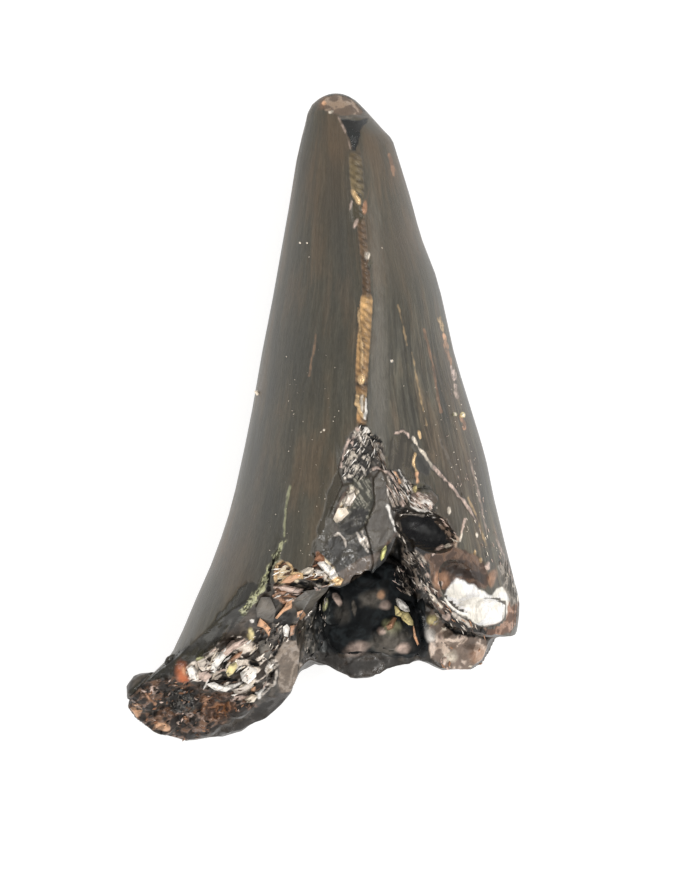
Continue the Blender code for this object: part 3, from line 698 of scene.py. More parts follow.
# %% Lines of the broken wall
# Each line: mineral, half width and rise in mm, its course, and its strength
WALL_LINES = {
    "shoulder_crack_1": Line("calcite", 0.07, 0.05, (
        (413, 437), (418, 447), (425, 455), (431, 465), (434, 469))),
    "shoulder_crack_2": Line("pink_film", 0.09, 0.05, ((434, 467), (440, 475), (444, 478))),
    "shoulder_crack_3": Line("pink_film", 0.08, 0.05, (
        (445, 479), (449, 483), (453, 487), (459, 496), (464, 501), (470, 510), (476, 521))),
    "shoulder_top": Line("pink_film", 0.05, 0.04, ((396, 433), (403, 431), (408, 434), (409, 438))),
    "shoulder_gold": Line("gold_film", 0.06, 0.04, ((419, 431), (420, 438))),
    "panel_edge": Line("gold_film", 0.07, 0.05, ((414.5, 454), (413.8, 463), (417, 473))),
    "panel_edge_low": Line("orange_ochre", 0.09, 0.05, ((417, 473), (418, 483))),
    "green_thread": Line("olive_dentine", 0.05, 0.02, ((387, 442), (386, 455), (387, 468))),
    "crumble_left": Line("pink_film", 0.06, 0.07, ((349, 440), (345, 449), (343, 457), (341, 467))),
    "crumble_crack": Line("black_shade", 0.05, -0.08, ((367, 434), (373, 439), (381, 442))),
    "crumble_sliver_1": Line("silver_film", 0.06, 0.08, ((358, 433), (361, 440), (364, 444))),
    "crumble_sliver_2": Line("silver_film", 0.05, 0.08, ((352, 462), (349, 467), (346, 471))),
    "crumble_sliver_3": Line("silver_film", 0.05, 0.08, ((361, 466), (364, 471), (365, 475))),
    "crumble_sliver_4": Line("pink_film", 0.05, 0.07, ((354, 436), (352, 443), (354, 449))),
    "ledge": Line("pink_film", 0.07, 0.08, ((373, 469), (378, 468), (384, 471), (389, 473))),
    "fibre_1": Line("pink_film", 0.09, 0.08, ((390, 474), (395, 481), (399, 488))),
    "fibre_2": Line("orange_ochre", 0.06, 0.06, ((394, 472), (398, 477), (400, 483))),
    "fibre_3": Line("white_film_and_glint", 0.06, 0.08, ((399, 470), (403, 477), (406, 483), (408, 492), (409, 501))),
    "fibre_4": Line("pink_film", 0.08, 0.08, ((393, 489), (398, 497), (403, 505))),
    "fibre_5": Line("silver_film", 0.07, 0.07, ((387, 488), (389, 496), (393, 502))),
    "fibre_6": Line("silver_film", 0.05, 0.07, ((408, 484), (412, 492))),
    "fibre_7": Line("grey_dentine", 0.06, 0.06, ((390, 483), (395, 490), (400, 500))),
    "slab_edge": Line("white_film_and_glint", 0.06, 0.06, ((388, 506), (390, 514), (393, 522), (396, 532))),
    "slab_foot": Line("brown_oxide", 0.06, 0.03, ((396, 533), (391, 540), (384, 546))),
    "scoop_gold": Line("calcite", 0.12, 0.05, ((351, 492), (347, 499), (345, 505))),
    "scoop_gold_low": Line("calcite", 0.14, 0.05, ((345, 509), (341, 516), (337, 521))),
    "scoop_left": Line("brown_oxide", 0.05, 0.05, ((348, 488), (341, 500), (336, 511), (334, 518))),
    "face_corner": Line("silver_film", 0.04, 0.05, ((334, 536), (339, 533), (344, 539), (346, 546))),
    "face_streak_1": Line("silver_film", 0.06, 0.02, ((357, 533), (362, 542), (368, 552))),
    "face_streak_2": Line("silver_film", 0.05, 0.02, ((362, 532), (366, 541), (369, 547))),
    "silver_ledge": Line("white_film_and_glint", 0.1, 0.08, (
        (411, 506), (418, 510), (425, 510), (432, 515), (434, 518))),
    "silver_ledge_low": Line("silver_film", 0.06, 0.06, ((405, 514), (413, 514), (423, 516))),
    "hollow_rim": Line("pink_film", 0.08, 0.07, (
        (433, 555), (438, 549), (442, 546), (448, 547), (451, 545))),
    "lobe_ridge_1": Line("calcite", 0.12, 0.1, ((426, 588), (430, 595), (436, 601), (441, 607))),
    "lobe_ridge_2": Line("silver_film", 0.06, 0.06, ((425, 593), (430, 602), (436, 609))),
    "lobe_under": Line("black_shade", 0.1, -0.15, (
        (428, 603), (436, 611), (444, 620), (449, 627), (456, 632), (470, 634), (487, 638))),
    "lobe_lip": Line("silver_film", 0.09, 0.06, ((452, 613), (458, 618), (465, 622), (472, 627))),
    "right_stroke": Line("pink_film", 0.06, 0.03, ((465, 519), (463, 528), (461, 536))),
    "right_stroke_2": Line("calcite", 0.07, 0.03, ((462, 534), (460, 541))),
}
print(len(WALL_LINES), "lines on the wall")

# %% Lines of the foot
FOOT_LINES = {
    "crust_line_thin": Line("green_crust", 0.07, 0.03, ((290, 486), (287, 500), (285, 515), (284, 536))),
    "crust_crack": Line("black_shade", 0.09, -0.25, ((274, 560), (270, 570), (268, 583), (269, 590))),
    "foil_loop": Line("gold_film", 0.06, 0.12, ((276, 565), (283, 561), (290, 565), (293, 570), (290, 576))),
    "foil_loop_left": Line("gold_film", 0.08, 0.12, ((277, 567), (275, 575), (276, 583), (280, 582))),
    "foil_loop_low": Line("gold_film", 0.12, 0.12, ((281, 583), (286, 579), (292, 577))),
    "foil_fold_4": Line("silver_film", 0.1, 0.12, ((316, 570), (321, 575), (327, 580))),
    "foil_apex": Line("rust", 0.1, 0.05, ((318, 553), (318, 560))),
    "foil_gap_1": Line("black_shade", 0.12, -0.2, ((301, 582), (311, 583), (320, 581), (328, 584))),
    "foil_gap_2": Line("black_shade", 0.1, -0.2, ((290, 586), (300, 583), (309, 587))),
    "foil_line": Line("silver_film", 0.04, 0.05, ((300, 579), (309, 583), (318, 586), (329, 587))),
    "tail_loop": Line("gold_film", 0.06, 0.08, ((331, 581), (336, 577), (342, 580), (340, 584), (333, 585))),
    "chip_line": Line("black_shade", 0.05, -0.08, ((290, 600), (297, 596), (305, 590))),
    "chip_ridge": Line("silver_film", 0.05, 0.05, ((298, 616), (304, 620), (311, 611))),
    "copper_line": Line("copper_film", 0.07, 0.08, ((273, 596), (279, 598), (284, 602))),
    "wall_crack": Line("black_shade", 0.08, -0.2, ((283, 639), (278, 649), (274, 655))),
    "pink_sheet_edge": Line("white_film_and_glint", 0.1, 0.14, ((214, 664), (218, 655), (226, 650), (233, 648))),
    "swirl_arc": Line("white_film_and_glint", 0.12, 0.14, (
        (212, 685), (222, 689), (232, 687), (240, 683), (246, 679))),
    "swirl_dark": Line("black_shade", 0.12, -0.15, ((225, 664), (222, 672), (226, 680), (236, 681))),
    "swirl_dark_top": Line("black_shade", 0.08, -0.15, ((236, 646), (230, 655), (224, 662))),
    "silver_loop_left": Line("silver_film", 0.07, 0.12, ((270, 662), (267, 670), (268, 677), (265, 684))),
    "silver_loop_right": Line("silver_film", 0.06, 0.12, (
        (272, 660), (276, 665), (277, 674), (274, 684), (267, 691), (262, 694))),
    "silver_loop_low": Line("white_film_and_glint", 0.09, 0.12, ((254, 697), (259, 694), (264, 688))),
    "pink_streak": Line("pink_film", 0.1, 0.08, ((232, 699), (240, 698), (248, 697))),
    "brown_trench": Line("brown_oxide", 0.12, -0.08, ((196, 688), (212, 694), (230, 694), (246, 690))),
    "foot_ridge": Line("copper_film", 0.08, 0.08, ((146, 694), (150, 700), (155, 704))),
}
print(len(FOOT_LINES), "lines on the foot")

# %% Lines of the crown
CROWN_LINES = {
    "tip_edge": Line("slate", 0.11, 0.0, (
        (327, 95), (334, 92), (345, 93), (354, 99), (364, 109), (373, 117)), 0.9),
    "shield_rim": Line("grey_dentine", 0.07, 0.03, ((339, 117), (350, 117), (362, 117), (370, 116)), 0.8),
    "shield_left": Line("pink_film", 0.04, 0.02, ((338, 117), (345, 131), (350, 148)), 0.5),
    "ridge_glow": Line("gold_film", 0.07, 0.04, ((358, 308), (360, 330), (362, 350), (361, 370)), 0.6),
    "ridge_end_core": Line("calcite", 0.14, 0.08, ((362, 397), (361, 404), (362, 411))),
    "ridge_end_side": Line("gold_film", 0.14, 0.06, ((358, 396), (357, 404), (360, 412), (365, 419))),
    "ridge_end_tail": Line("white_film_and_glint", 0.07, 0.08, ((366, 399), (366, 408), (365, 419))),
    "orange_thread": Line("orange_ochre", 0.05, 0.0, ((316, 335), (314, 350), (311, 362), (309, 375)), 0.25),
    "rust_streak_1": Line("copper_film", 0.08, 0.0, (
        (424, 330), (430, 352), (434, 372), (438, 398), (441, 412)), 0.4),
    "edge_bead_1": Line("gold_film", 0.12, 0.0, ((440, 318), (443, 330)), 0.6),
    "edge_bead_2": Line("orange_ochre", 0.14, 0.0, ((444, 335), (447, 347)), 0.9),
    "edge_bead_3": Line("copper_film", 0.1, 0.0, ((447, 350), (451, 364)), 0.6),
    "edge_bead_4": Line("pink_film", 0.14, 0.0, ((451, 367), (454, 378)), 0.9),
    "edge_bead_5": Line("pink_film", 0.12, 0.0, ((455, 386), (458, 397)), 0.7),
    "edge_bead_6": Line("copper_film", 0.12, 0.0, ((461, 416), (465, 425)), 0.7),
    "edge_bead_top": Line("copper_film", 0.12, 0.0, ((389, 155), (394, 175)), 0.5),
    "rust_streak_4": Line("gold_film", 0.04, 0.0, ((412, 352), (416, 375), (421, 400), (427, 425)), 0.35),
    "rust_streak_5": Line("gold_film", 0.04, 0.0, ((398, 305), (403, 325), (407, 345)), 0.3),
    "side_dark_1": Line("olive_dentine", 0.06, 0.0, ((405, 350), (410, 375), (415, 400), (422, 428)), 0.6),
    "side_dark_2": Line("olive_dentine", 0.07, 0.0, ((436, 350), (443, 375), (449, 400), (455, 430)), 0.6),
    "side_light_1": Line("pink_film", 0.05, 0.0, ((470, 460), (477, 485), (482, 510), (487, 535)), 0.4),
    "side_light_2": Line("grey_dentine", 0.09, 0.0, ((440, 440), (450, 462), (458, 478)), 0.5),
    "side_light_3": Line("gold_film", 0.05, 0.0, ((468, 498), (478, 520), (486, 545)), 0.4),
    "edge_light": Line("pink_film", 0.07, 0.0, ((497, 540), (503, 553), (508, 566), (514, 583)), 0.5),
    "lump_flake_edge": Line("brown_oxide", 0.09, 0.08, ((393, 618), (387, 625), (380, 631))),
}

LINES = WALL_LINES | FOOT_LINES | CROWN_LINES
print(len(CROWN_LINES), "lines on the crown")

# %% Tints of the enamel
# Each tint or spot: mineral, half width and half length in mm, turn in degrees, rise in mm, centre,
# strength, and how soft its edge is
TINTS = {
    "tip_brown_left": Spot("brown_enamel", (0.75, 1.2), 12, 0.0, (337, 138), 0.55, 0.5),
    "tip_brown_right": Spot("brown_enamel", (0.6, 1.1), -25, 0.0, (374, 144), 0.4, 0.5),
    "tip_edge_brown": Spot("rust", (0.5, 0.3), -30, 0.0, (328, 104), 0.45, 0.5),
    "crown_brown_1": Spot("brown_enamel", (1.2, 1.7), 0, 0.0, (325, 185), 0.3, 0.7),
    "crown_brown_2": Spot("brown_enamel", (0.9, 2.2), -20, 0.0, (410, 235), 0.35, 0.7),
    "crown_brown_3": Spot("brown_enamel", (0.35, 1.3), -17, 0.0, (393, 170), 0.45, 0.6),
    "crown_slate_1": Spot("slate_enamel", (0.7, 2.4), 2, 0.0, (341, 262), 0.55, 0.7),
    "crown_slate_2": Spot("slate_enamel", (1.2, 3.5), 5, 0.0, (300, 330), 0.25, 0.8),
    "crown_slate_3": Spot("slate_enamel", (0.8, 4.0), 8, 0.0, (268, 500), 0.3, 0.8),
    "crown_warm_low": Spot("brown_enamel", (1.2, 2.4), -12, 0.0, (455, 480), 0.35, 0.7),
    "crown_warm_left": Spot("brown_enamel", (0.8, 2.2), 14, 0.0, (232, 560), 0.4, 0.8),
    # The two grey strips right of the cutting edge are a painted reflection of an overhead lamp
    "painted_sheen_strip_top": Spot("painted_sheen_grey", (0.3, 3.0), 3, 0.0, (378, 250), 0.45, 0.5),
    "painted_sheen_strip_low": Spot("painted_sheen_grey", (0.34, 3.6), 0, 0.0, (380, 365), 0.5, 0.5),
}

# %% Spots of the broken wall
WALL_SPOTS = {
    "bright_bit": Spot("white_film_and_glint", (0.2, 0.14), -20, 0.1, (366, 430)),
    "bright_bit_pink": Spot("pink_film", (0.12, 0.12), 0, 0.08, (358, 429)),
    "facet_glint": Spot("silver_film", (0.1, 0.25), 20, 0.03, (376, 447)),
    "olive_dome": Spot("olive_dentine", (0.4, 0.3), -30, 0.15, (423, 489)),
    # The bump's pink cast and its white core are painted highlights on a lump raised as real shape
    "pink_highlight_on_bump": Spot("pink_film", (0.5, 0.34), -38, 0.15, (422, 501), 0.35, 0.4),
    "white_highlight_on_bump": Spot("white_film_and_glint", (0.3, 0.13), -30, 0.06, (426, 503), 0.9, 0.3),
    "bump_yellow": Spot("brass_crystal", (0.1, 0.16), 0, 0.1, (415, 489)),
    "bump_ring": Spot("pink_film", (0.14, 0.12), 0, 0.1, (419, 494)),
    "rim_lump_1": Spot("pink_film", (0.13, 0.1), 0, 0.08, (441, 547)),
    "rim_lump_2": Spot("calcite", (0.18, 0.1), 20, 0.1, (448, 546)),
    "copper_lump": Spot("copper_film", (0.42, 0.4), 20, 0.1, (442, 580), 0.75, 0.4),
    "copper_glint": Spot("pink_film", (0.14, 0.12), 0, 0.06, (441, 583)),
    "curl": Spot("copper_film", (0.2, 0.4), -10, 0.1, (492, 578), 0.75, 0.4),
    "curl_top": Spot("pink_film", (0.14, 0.2), 0, 0.1, (488, 566)),
    "rim_pink": Spot("pink_film", (0.24, 0.16), -20, 0.1, (446, 617)),
    "side_fleck_1": Spot("calcite", (0.07, 0.2), -12, 0.05, (514, 584)),
    "side_fleck_2": Spot("calcite", (0.06, 0.2), 0, 0.05, (518, 598)),
    "side_fleck_3": Spot("calcite", (0.07, 0.16), 0, 0.04, (477, 535)),
    "side_fleck_4": Spot("gold_film", (0.07, 0.14), 0, 0.04, (475, 553)),
    "side_fleck_5": Spot("gold_film", (0.08, 0.14), 0, 0.04, (481, 560)),
    "side_fleck_6": Spot("calcite", (0.09, 0.2), 0, 0.05, (449, 511)),
    "enamel_dot": Spot("brass_crystal", (0.12, 0.12), 0, 0.05, (463, 415)),
    "enamel_dot_pale": Spot("apple_green", (0.1, 0.1), 0, 0.03, (455, 414)),
    "enamel_blush": Spot("copper_film", (0.1, 0.18), 0, 0.02, (464, 427)),
    "gold_lump": Spot("brass_crystal", (0.25, 0.26), 0, 0.15, (433, 620), 0.9, 0.4),
    "pink_knob": Spot("white_film_and_glint", (0.24, 0.36), 10, 0.15, (431, 635), 0.85, 0.4),
    "pink_knob_2": Spot("pink_film", (0.13, 0.2), 0, 0.14, (440, 637)),
    "pale_knob": Spot("calcite", (0.32, 0.3), 0, 0.1, (451, 657), 0.85, 0.4),
    "orange_side": Spot("copper_film", (0.42, 0.4), 0, 0.05, (479, 655), 0.6, 0.5),
}
print(len(WALL_SPOTS), "spots on the wall")

# %% Spots of the foot
FOOT_SPOTS = {
    "iron_stain": Spot("iron_stain", (0.3, 0.5), 12, 0.0, (182, 674), 0.85, 0.6),
    "iron_stain_core": Spot("orange_ochre", (0.12, 0.24), 20, 0.02, (184, 671), 0.6, 0.6),
    "copper_ball": Spot("copper_film", (0.24, 0.16), 0, 0.14, (281, 592)),
    "white_bit": Spot("white_film_and_glint", (0.1, 0.1), 0, 0.08, (252, 621)),
    "yellow_crystal": Spot("brass_crystal", (0.17, 0.32), 10, 0.16, (251, 635)),
    "dark_hole": Spot("black_shade", (0.32, 0.2), -20, -0.3, (254, 663)),
    "loop_core": Spot("white_film_and_glint", (0.1, 0.22), 12, 0.12, (271, 668)),
    "orange_dot": Spot("orange_ochre", (0.12, 0.14), 0, 0.12, (253, 689)),
    "small_white": Spot("white_film_and_glint", (0.13, 0.2), 30, 0.12, (258, 696)),
    "copper_ring": Spot("copper_film", (0.28, 0.2), -30, 0.14, (205, 700)),
    "copper_crumb": Spot("pink_film", (0.22, 0.2), 0, 0.15, (154, 690)),
    "orange_tip_end": Spot("orange_ochre", (0.36, 0.3), 40, 0.1, (136, 710)),
    "orange_below": Spot("orange_ochre", (0.36, 0.2), -20, 0.1, (163, 727)),
    "cream_below": Spot("pink_film", (0.2, 0.14), 0, 0.1, (189, 714)),
    "green_fleck": Spot("apple_green", (0.2, 0.1), 0, 0.05, (200, 659)),
}
print(len(FOOT_SPOTS), "spots on the foot")

# %% Spots of the hollow
HOLLOW_SPOTS = {
    "wall_yellow": Spot("apple_green", (0.12, 0.34), -12, 0.1, (325, 605)),
    "wall_pink": Spot("pink_film", (0.16, 0.4), 30, 0.12, (338, 600)),
    "wall_fleck": Spot("grey_dentine", (0.12, 0.45), 5, 0.1, (354, 608)),
    "hollow_lump": Spot("grey_dentine", (0.62, 0.4), 10, 0.12, (373, 598), 0.8, 0.5),
    "hollow_lump_orange": Spot("orange_ochre", (0.16, 0.2), 0, 0.05, (381, 595), 0.6, 0.5),
    "hollow_pink": Spot("pink_film", (0.24, 0.2), 0, 0.05, (385, 605), 0.6, 0.5),
    "hollow_flake_low": Spot("apple_green", (0.42, 0.36), -20, 0.15, (392, 627), 0.6, 0.5),
    "hollow_grey": Spot("grey_dentine", (0.95, 0.62), 10, 0.15, (391, 641), 0.75, 0.5),
    "hollow_knob_1": Spot("pink_film", (0.2, 0.18), 0, 0.08, (381, 631), 0.8, 0.5),
    "hollow_knob_2": Spot("pink_film", (0.28, 0.26), 0, 0.1, (403, 648), 0.9, 0.5),
    "hollow_bump": Spot("pink_film", (0.5, 0.28), 10, 0.08, (356, 649), 0.55, 0.6),
    "hollow_dim": Spot("grey_dentine", (0.35, 0.5), 0, 0.08, (343, 612), 0.35, 0.6),
}
print(len(HOLLOW_SPOTS), "spots in the hollow")

# %% Spots of the crown
CROWN_SPOTS = {
    "tip_orange": Spot("orange_ochre", (0.1, 0.1), 0, 0.03, (324, 103)),
    "tip_glint": Spot("calcite", (0.12, 0.07), 20, 0.02, (331, 112)),
    "chip_shadow": Spot("olive_dentine", (0.34, 0.85), 0, -0.08, (358, 208), 0.9, 0.25),
    "chip_crescent": Spot("gold_film", (0.12, 0.36), 28, 0.08, (356, 197), 1.0, 0.3),
    "chip_side": Spot("copper_film", (0.11, 0.34), -5, 0.06, (365, 207), 1.0, 0.3),
    "chip_lip": Spot("pink_film", (0.1, 0.24), -25, 0.06, (356, 223), 0.9, 0.3),
    "chip_left": Spot("pink_film", (0.06, 0.24), -15, 0.04, (351, 205), 0.6, 0.2),
    "pale_oval": Spot("gold_film", (0.2, 0.24), 0, 0.05, (362, 379), 0.9, 0.2),
    "chip_cream": Spot("calcite", (0.13, 0.2), -15, 0.06, (367, 256)),
    "chip_dark": Spot("olive_dentine", (0.12, 0.2), 0, 0.0, (370, 264)),
    "specks_1": Spot("calcite", (0.06, 0.06), 0, 0.03, (300, 243)),
    "specks_2": Spot("calcite", (0.05, 0.05), 0, 0.03, (307, 243)),
    "specks_3": Spot("calcite", (0.06, 0.06), 0, 0.03, (324, 430)),
    "specks_4": Spot("white_film_and_glint", (0.07, 0.07), 0, 0.03, (392, 361)),
}
ZONES = WALL_ZONES | FOOT_ZONES
SPOTS = WALL_SPOTS | FOOT_SPOTS | HOLLOW_SPOTS | CROWN_SPOTS
print(len(ZONES), "zones,", len(LINES), "lines and", len(SPOTS), "spots in all")

# %% [markdown]
# ## Laying the marks on a skin
# Each mark works on the points that lie under it with nothing over them. A zone crumples the surface into
# folds of its own size and direction, and colours the crests lighter than the troughs: partly the minerals'
# own colours, partly painted highlight on the crests and painted shade in the troughs. A line raises a
# ridge or sinks a crack, and a spot raises a lump or sinks a pit. Marks lie over each other like thin
# coats of paint, so a weak one only tints the enamel. The same functions serve the tooth and its crust.

# %% Helpers for marks
# Half the width over which a zone fades in, and the step down from the enamel into one, in mm
SOFT_EDGE, LIP_DEPTH = 0.05, 0.07
# How ragged the edges are: a zone's in mm, and a line's and a spot's as shares of their size
ZONE_RAGGED, LINE_RAGGED, SPOT_RAGGED = 0.09, 0.8, 0.3
# Height of a zone's folds as a share of their width, and the slope from which it has tilted facets too
FOLD_RELIEF, FACETS_FROM = 0.42, 0.2
# Lines that rise more than the first, in mm, get painted shade this far beside them and this strongly
SHADED_FROM, SHADE_REACH, SHADE_STRENGTH = 0.03, 0.13, 0.55
FIRST_ZONE_SEED, ZONE_SEED_STEP = 40, 7
# Maps of heights start this many cells left of and below the origin, and NOTHING marks an empty cell
MAP_MIDDLE, MAP_WIDTH, NOTHING = 300, 1000, -9.0


def segment_distance(x0, y0, x1, y1, x, y):
    """How far each place lies from a straight stretch."""
    dx, dy = x1 - x0, y1 - y0
    t = np.clip(((x - x0) * dx + (y - y0) * dy) / (dx * dx + dy * dy + 1e-12), 0, 1)
    return np.hypot(x - x0 - t * dx, y - y0 - t * dy)


def rim_distance(outline, x, y):
    """How far each place lies inside an outline, in millimetres. Outside it is negative."""
    corners = on_table(outline)
    nearest = np.full(len(x), np.inf)
    inside = np.zeros(len(x), bool)
    for (x0, y0), (x1, y1) in zip(corners, np.roll(corners, -1, axis=0)):
        nearest = np.minimum(nearest, segment_distance(x0, y0, x1, y1, x, y))
        crosses = (y0 > y) != (y1 > y)
        inside ^= crosses & (x < (x1 - x0) * (y - y0) / (y1 - y0 + 1e-12) + x0)
    return np.where(inside, nearest, -nearest)


def turned(x, y, degrees):
    """The places along and across a direction."""
    angle = np.radians(degrees)
    return x * np.cos(angle) + y * np.sin(angle), y * np.cos(angle) - x * np.sin(angle)


def folds(points, length, width, lean, seed):
    """Crumpled folds that run along lean: close to 1 on sharp crests and lower in the troughs."""
    u, v = turned(points[:, 0], points[:, 1], lean)
    place = np.stack([u / length, v / width, points[:, 2] / (length + width)], axis=1)
    place += 0.45 * waves(place, 1.6, seed)[:, None] * (0.4, 1.0, 1.0)
    broad = 1 - np.abs(waves(place, 1.1, seed + 1)) * 1.6
    fine = 1 - np.abs(waves(place, 0.5, seed + 2)) * 1.6
    return 0.72 * broad + 0.28 * fine


def seen_from_above(points, slack=0.3, cell=0.14):
    """True for points with nothing over them."""
    column = np.floor(points[:, :2] / cell).astype(int) + MAP_MIDDLE
    key = column[:, 0] * MAP_WIDTH + column[:, 1]
    highest = np.full(key.max() + 1, NOTHING)
    np.maximum.at(highest, key, points[:, 2])
    return points[:, 2] > highest[key] - slack


class Surface:
    """The points of a skin with what the marks change: height, colour, roughness, metal and cover."""

    def __init__(self, points, bare, colour):
        self.points = points
        self.open = np.nonzero(seen_from_above(points))[0]
        self.rise = np.zeros(len(points))
        self.bare = bare.astype(float)
        self.colour = np.tile(linear(colour), (len(points), 1))
        self.rough = np.full(len(points), 0.45)
        self.metal = np.zeros(len(points))
        self.tone = folds(points, 0.34, 0.22, 60, 91)
        self.ragged = waves(points, 0.3, 92)

    def lay(self, who, cover, colour, rough, metal, rise):
        """Lays a coat over what the points had, as thick as cover says."""
        under = self.bare[who] * (1 - cover)
        total = np.maximum(under + cover, 1e-6)
        self.colour[who] = (self.colour[who] * under[:, None] + colour * cover[:, None]) / total[:, None]
        self.rough[who] += (rough - self.rough[who]) * cover
        self.metal[who] += (metal - self.metal[who]) * cover
        self.rise[who] += rise * cover
        self.bare[who] = under + cover

    def zone(self, zone, seed):
        """Crumples and colours the points inside an outline."""
        x, y = self.points[self.open, :2].T
        depth = rim_distance(zone.outline, x, y) + ZONE_RAGGED * self.ragged[self.open]
        near = depth > -SOFT_EDGE
        if not near.any():
            return
        who, depth = self.open[near], depth[near]
        cover = fade(depth, -SOFT_EDGE, SOFT_EDGE)
        length, width = zone.grain
        crest = folds(self.points[who], length, width, zone.lean, seed)
        offset, chance = grains(self.points[who], 0.8 * length, seed)
        crest += 0.5 * (chance[:, 0] - 0.5)
        middle, bright = np.quantile(crest, (0.5, 1 - 0.7 * zone.light_share))
        # The crests are lightened, partly as painted highlight, and the troughs darkened as painted shade
        light = fade(crest, middle, bright + 0.05)[:, None]
        depth_of_shade = min(0.65, 0.1 + zone.slope)
        shade = 1 - depth_of_shade * (1 - fade(crest, np.quantile(crest, 0.02), middle))[:, None]
        colour = linear(zone.dark) * shade * (1 - light) + linear(zone.light) * light
        tilt = ((chance[:, :2] - 0.5) * offset[:, :2]).sum(axis=1) * zone.slope * (zone.slope > FACETS_FROM)
        rise = tilt + (crest - crest.mean()) * FOLD_RELIEF * zone.slope * width
        lip = np.where(self.bare[who] < 0.5, -LIP_DEPTH, 0)
        matt = 0.62 - 0.36 * light[:, 0] - 0.2 * (zone.slope < 0.1)
        self.lay(who, cover, colour, matt, zone.metal * light[:, 0], rise + lip)

    def line(self, line):
        """Raises a ridge or sinks a crack along a course."""
        corners = on_table(line.points)
        x, y = self.points[self.open, :2].T
        low, high = corners.min(axis=0) - 0.5, corners.max(axis=0) + 0.5
        near = (x > low[0]) & (x < high[0]) & (y > low[1]) & (y < high[1])
        who, x, y = self.open[near], x[near], y[near]
        distance = np.full(len(who), np.inf)
        for (x0, y0), (x1, y1) in zip(corners, corners[1:]):
            distance = np.minimum(distance, segment_distance(x0, y0, x1, y1, x, y))
        half = 0.55 * line.half_width * (1 + LINE_RAGGED * self.ragged[who])
        distance += 0.05 * waves(self.points[who], 0.22, 12)
        colour, rough, metal = MINERALS[line.mineral]
        cover = fade(-distance, -half - 0.045, -half + 0.015) * line.strength
        # A raised line gets a band of painted shade beside it
        if line.rise > SHADED_FROM:
            beside = fade(-distance, -half - SHADE_REACH, -half - 0.03) * SHADE_STRENGTH
            self.lay(who, beside, linear(MINERALS["black_shade"][0]), 0.6, 0.0, 0.0)
        tone = 0.5 + 0.5 * fade(self.tone[who], 0.3, 0.75)[:, None]
        crest = np.sqrt(np.clip(1 - (distance / (half + 0.05)) ** 2, 0, 1))
        self.lay(who, cover, linear(colour) * tone, rough, metal, line.rise * crest)

    def spot(self, spot):
        """Raises a lump or sinks a pit, or only tints the skin where the rise is nothing."""
        centre = on_table(spot.centre)
        x, y = (self.points[self.open, :2] - centre).T
        u, v = turned(x, y, spot.turn)
        reach = np.hypot(u / spot.half_sizes[0], v / spot.half_sizes[1])
        near = reach < 2.0
        who, reach = self.open[near], reach[near]
        reach = reach + SPOT_RAGGED * self.ragged[who]
        colour, rough, metal = MINERALS[spot.mineral]
        cover = fade(-reach, -1 - spot.softness, -1 + spot.softness) * spot.strength
        tone = self.tone[who]
        if spot.softness < 0.2:
            tone = 0.4 + 0.6 * fade(tone, 0.2, 0.7)
        else:
            tone = 0.75 + 0.25 * fade(tone, 0.2, 0.7)
        dome = np.sqrt(np.clip(1.1 - reach * reach, 0, 1))
        self.lay(who, cover, linear(colour) * tone[:, None], rough, metal, spot.rise * dome)


def lay_marks(surface):
    """Lays every tint, zone, line and spot that falls on a surface, the broad ones first."""
    for tint in TINTS.values():
        surface.spot(tint)
    for k, zone in enumerate(ZONES.values()):
        surface.zone(zone, FIRST_ZONE_SEED + ZONE_SEED_STEP * k)
    for line in LINES.values():
        surface.line(line)
    for spot in SPOTS.values():
        surface.spot(spot)


# %% Lay the marks on the tooth
DENTINE_UNDER_MARKS, BROKEN_DENTINE = "#4a443d", "#4a433b"
# Swells, flat facets and folds of the plain broken dentine: size and height in mm
SWELL_SIZE, SWELL_HEIGHT = 0.5, 0.03
FACET_SIZE, FACET_SLOPE = 0.5, 0.08
FOLD_LENGTH, FOLD_WIDTH, FOLD_LEAN, FOLD_HEIGHT = 0.5, 0.22, 60, 0.06
DEEPEST_PIT, HIGHEST_LUMP = -0.4, 0.26

surface = Surface(tooth, bare, DENTINE_UNDER_MARKS)
broken = np.nonzero(bare > 0.5)[0]
surface.rise[broken] += SWELL_HEIGHT * waves(tooth[broken], SWELL_SIZE, 77)
surface.rise[broken] += facets(tooth[broken], FACET_SIZE, FACET_SLOPE, 78)

rows, ridge_hexes = zip(*RIDGE_COLOURS)
ridge_stops = np.array([linear(colour) for colour in ridge_hexes])
ridge_row = ORIGIN_PIXEL[1] - tooth[:, 1] / PIXEL
ridge_colour = np.stack([np.interp(ridge_row, rows, ridge_stops[:, k]) for k in range(3)], axis=1)
bead_wave = np.sin(bead_angle + SERRATION_WANDER * waves(tooth, WANDER_LENGTH, 3))
# Lighter on each bead and darker between, as painted light and shade on the serrations; darker to the right
beads = 0.9 + 0.2 * bead_wave + 0.5 * waves(tooth, 0.25, 8)
beads = np.clip(beads * (1 - 0.9 * beside_edge), 0.2, 1.5)
everyone = np.arange(len(tooth))
surface.lay(everyone, fade(ridge, 0.05, 0.6) * 0.95, ridge_colour * beads[:, None], 0.34, 0.1, 0.0)

# Walls that the camera doesn't see keep a flat colour, because their skin is thinned out further on
ground = folds(tooth[broken], FOLD_LENGTH, FOLD_WIDTH, FOLD_LEAN, 31)
in_view = np.zeros(len(tooth))
in_view[surface.open] = 1.0
ground_shade = 0.72 + in_view[broken] * (0.9 * fade(ground, 0.3, 0.9) - 0.37)
surface.colour[broken] = linear(BROKEN_DENTINE) * ground_shade[:, None]
surface.rise[broken] += FOLD_HEIGHT * ground
lay_marks(surface)
tooth[:, 2] += np.clip(surface.rise, DEEPEST_PIT, HIGHEST_LUMP)
tooth[:, 2] = np.maximum(tooth[:, 2], 0)
print("marks reach", int((surface.bare > 0.05).sum()), "points")

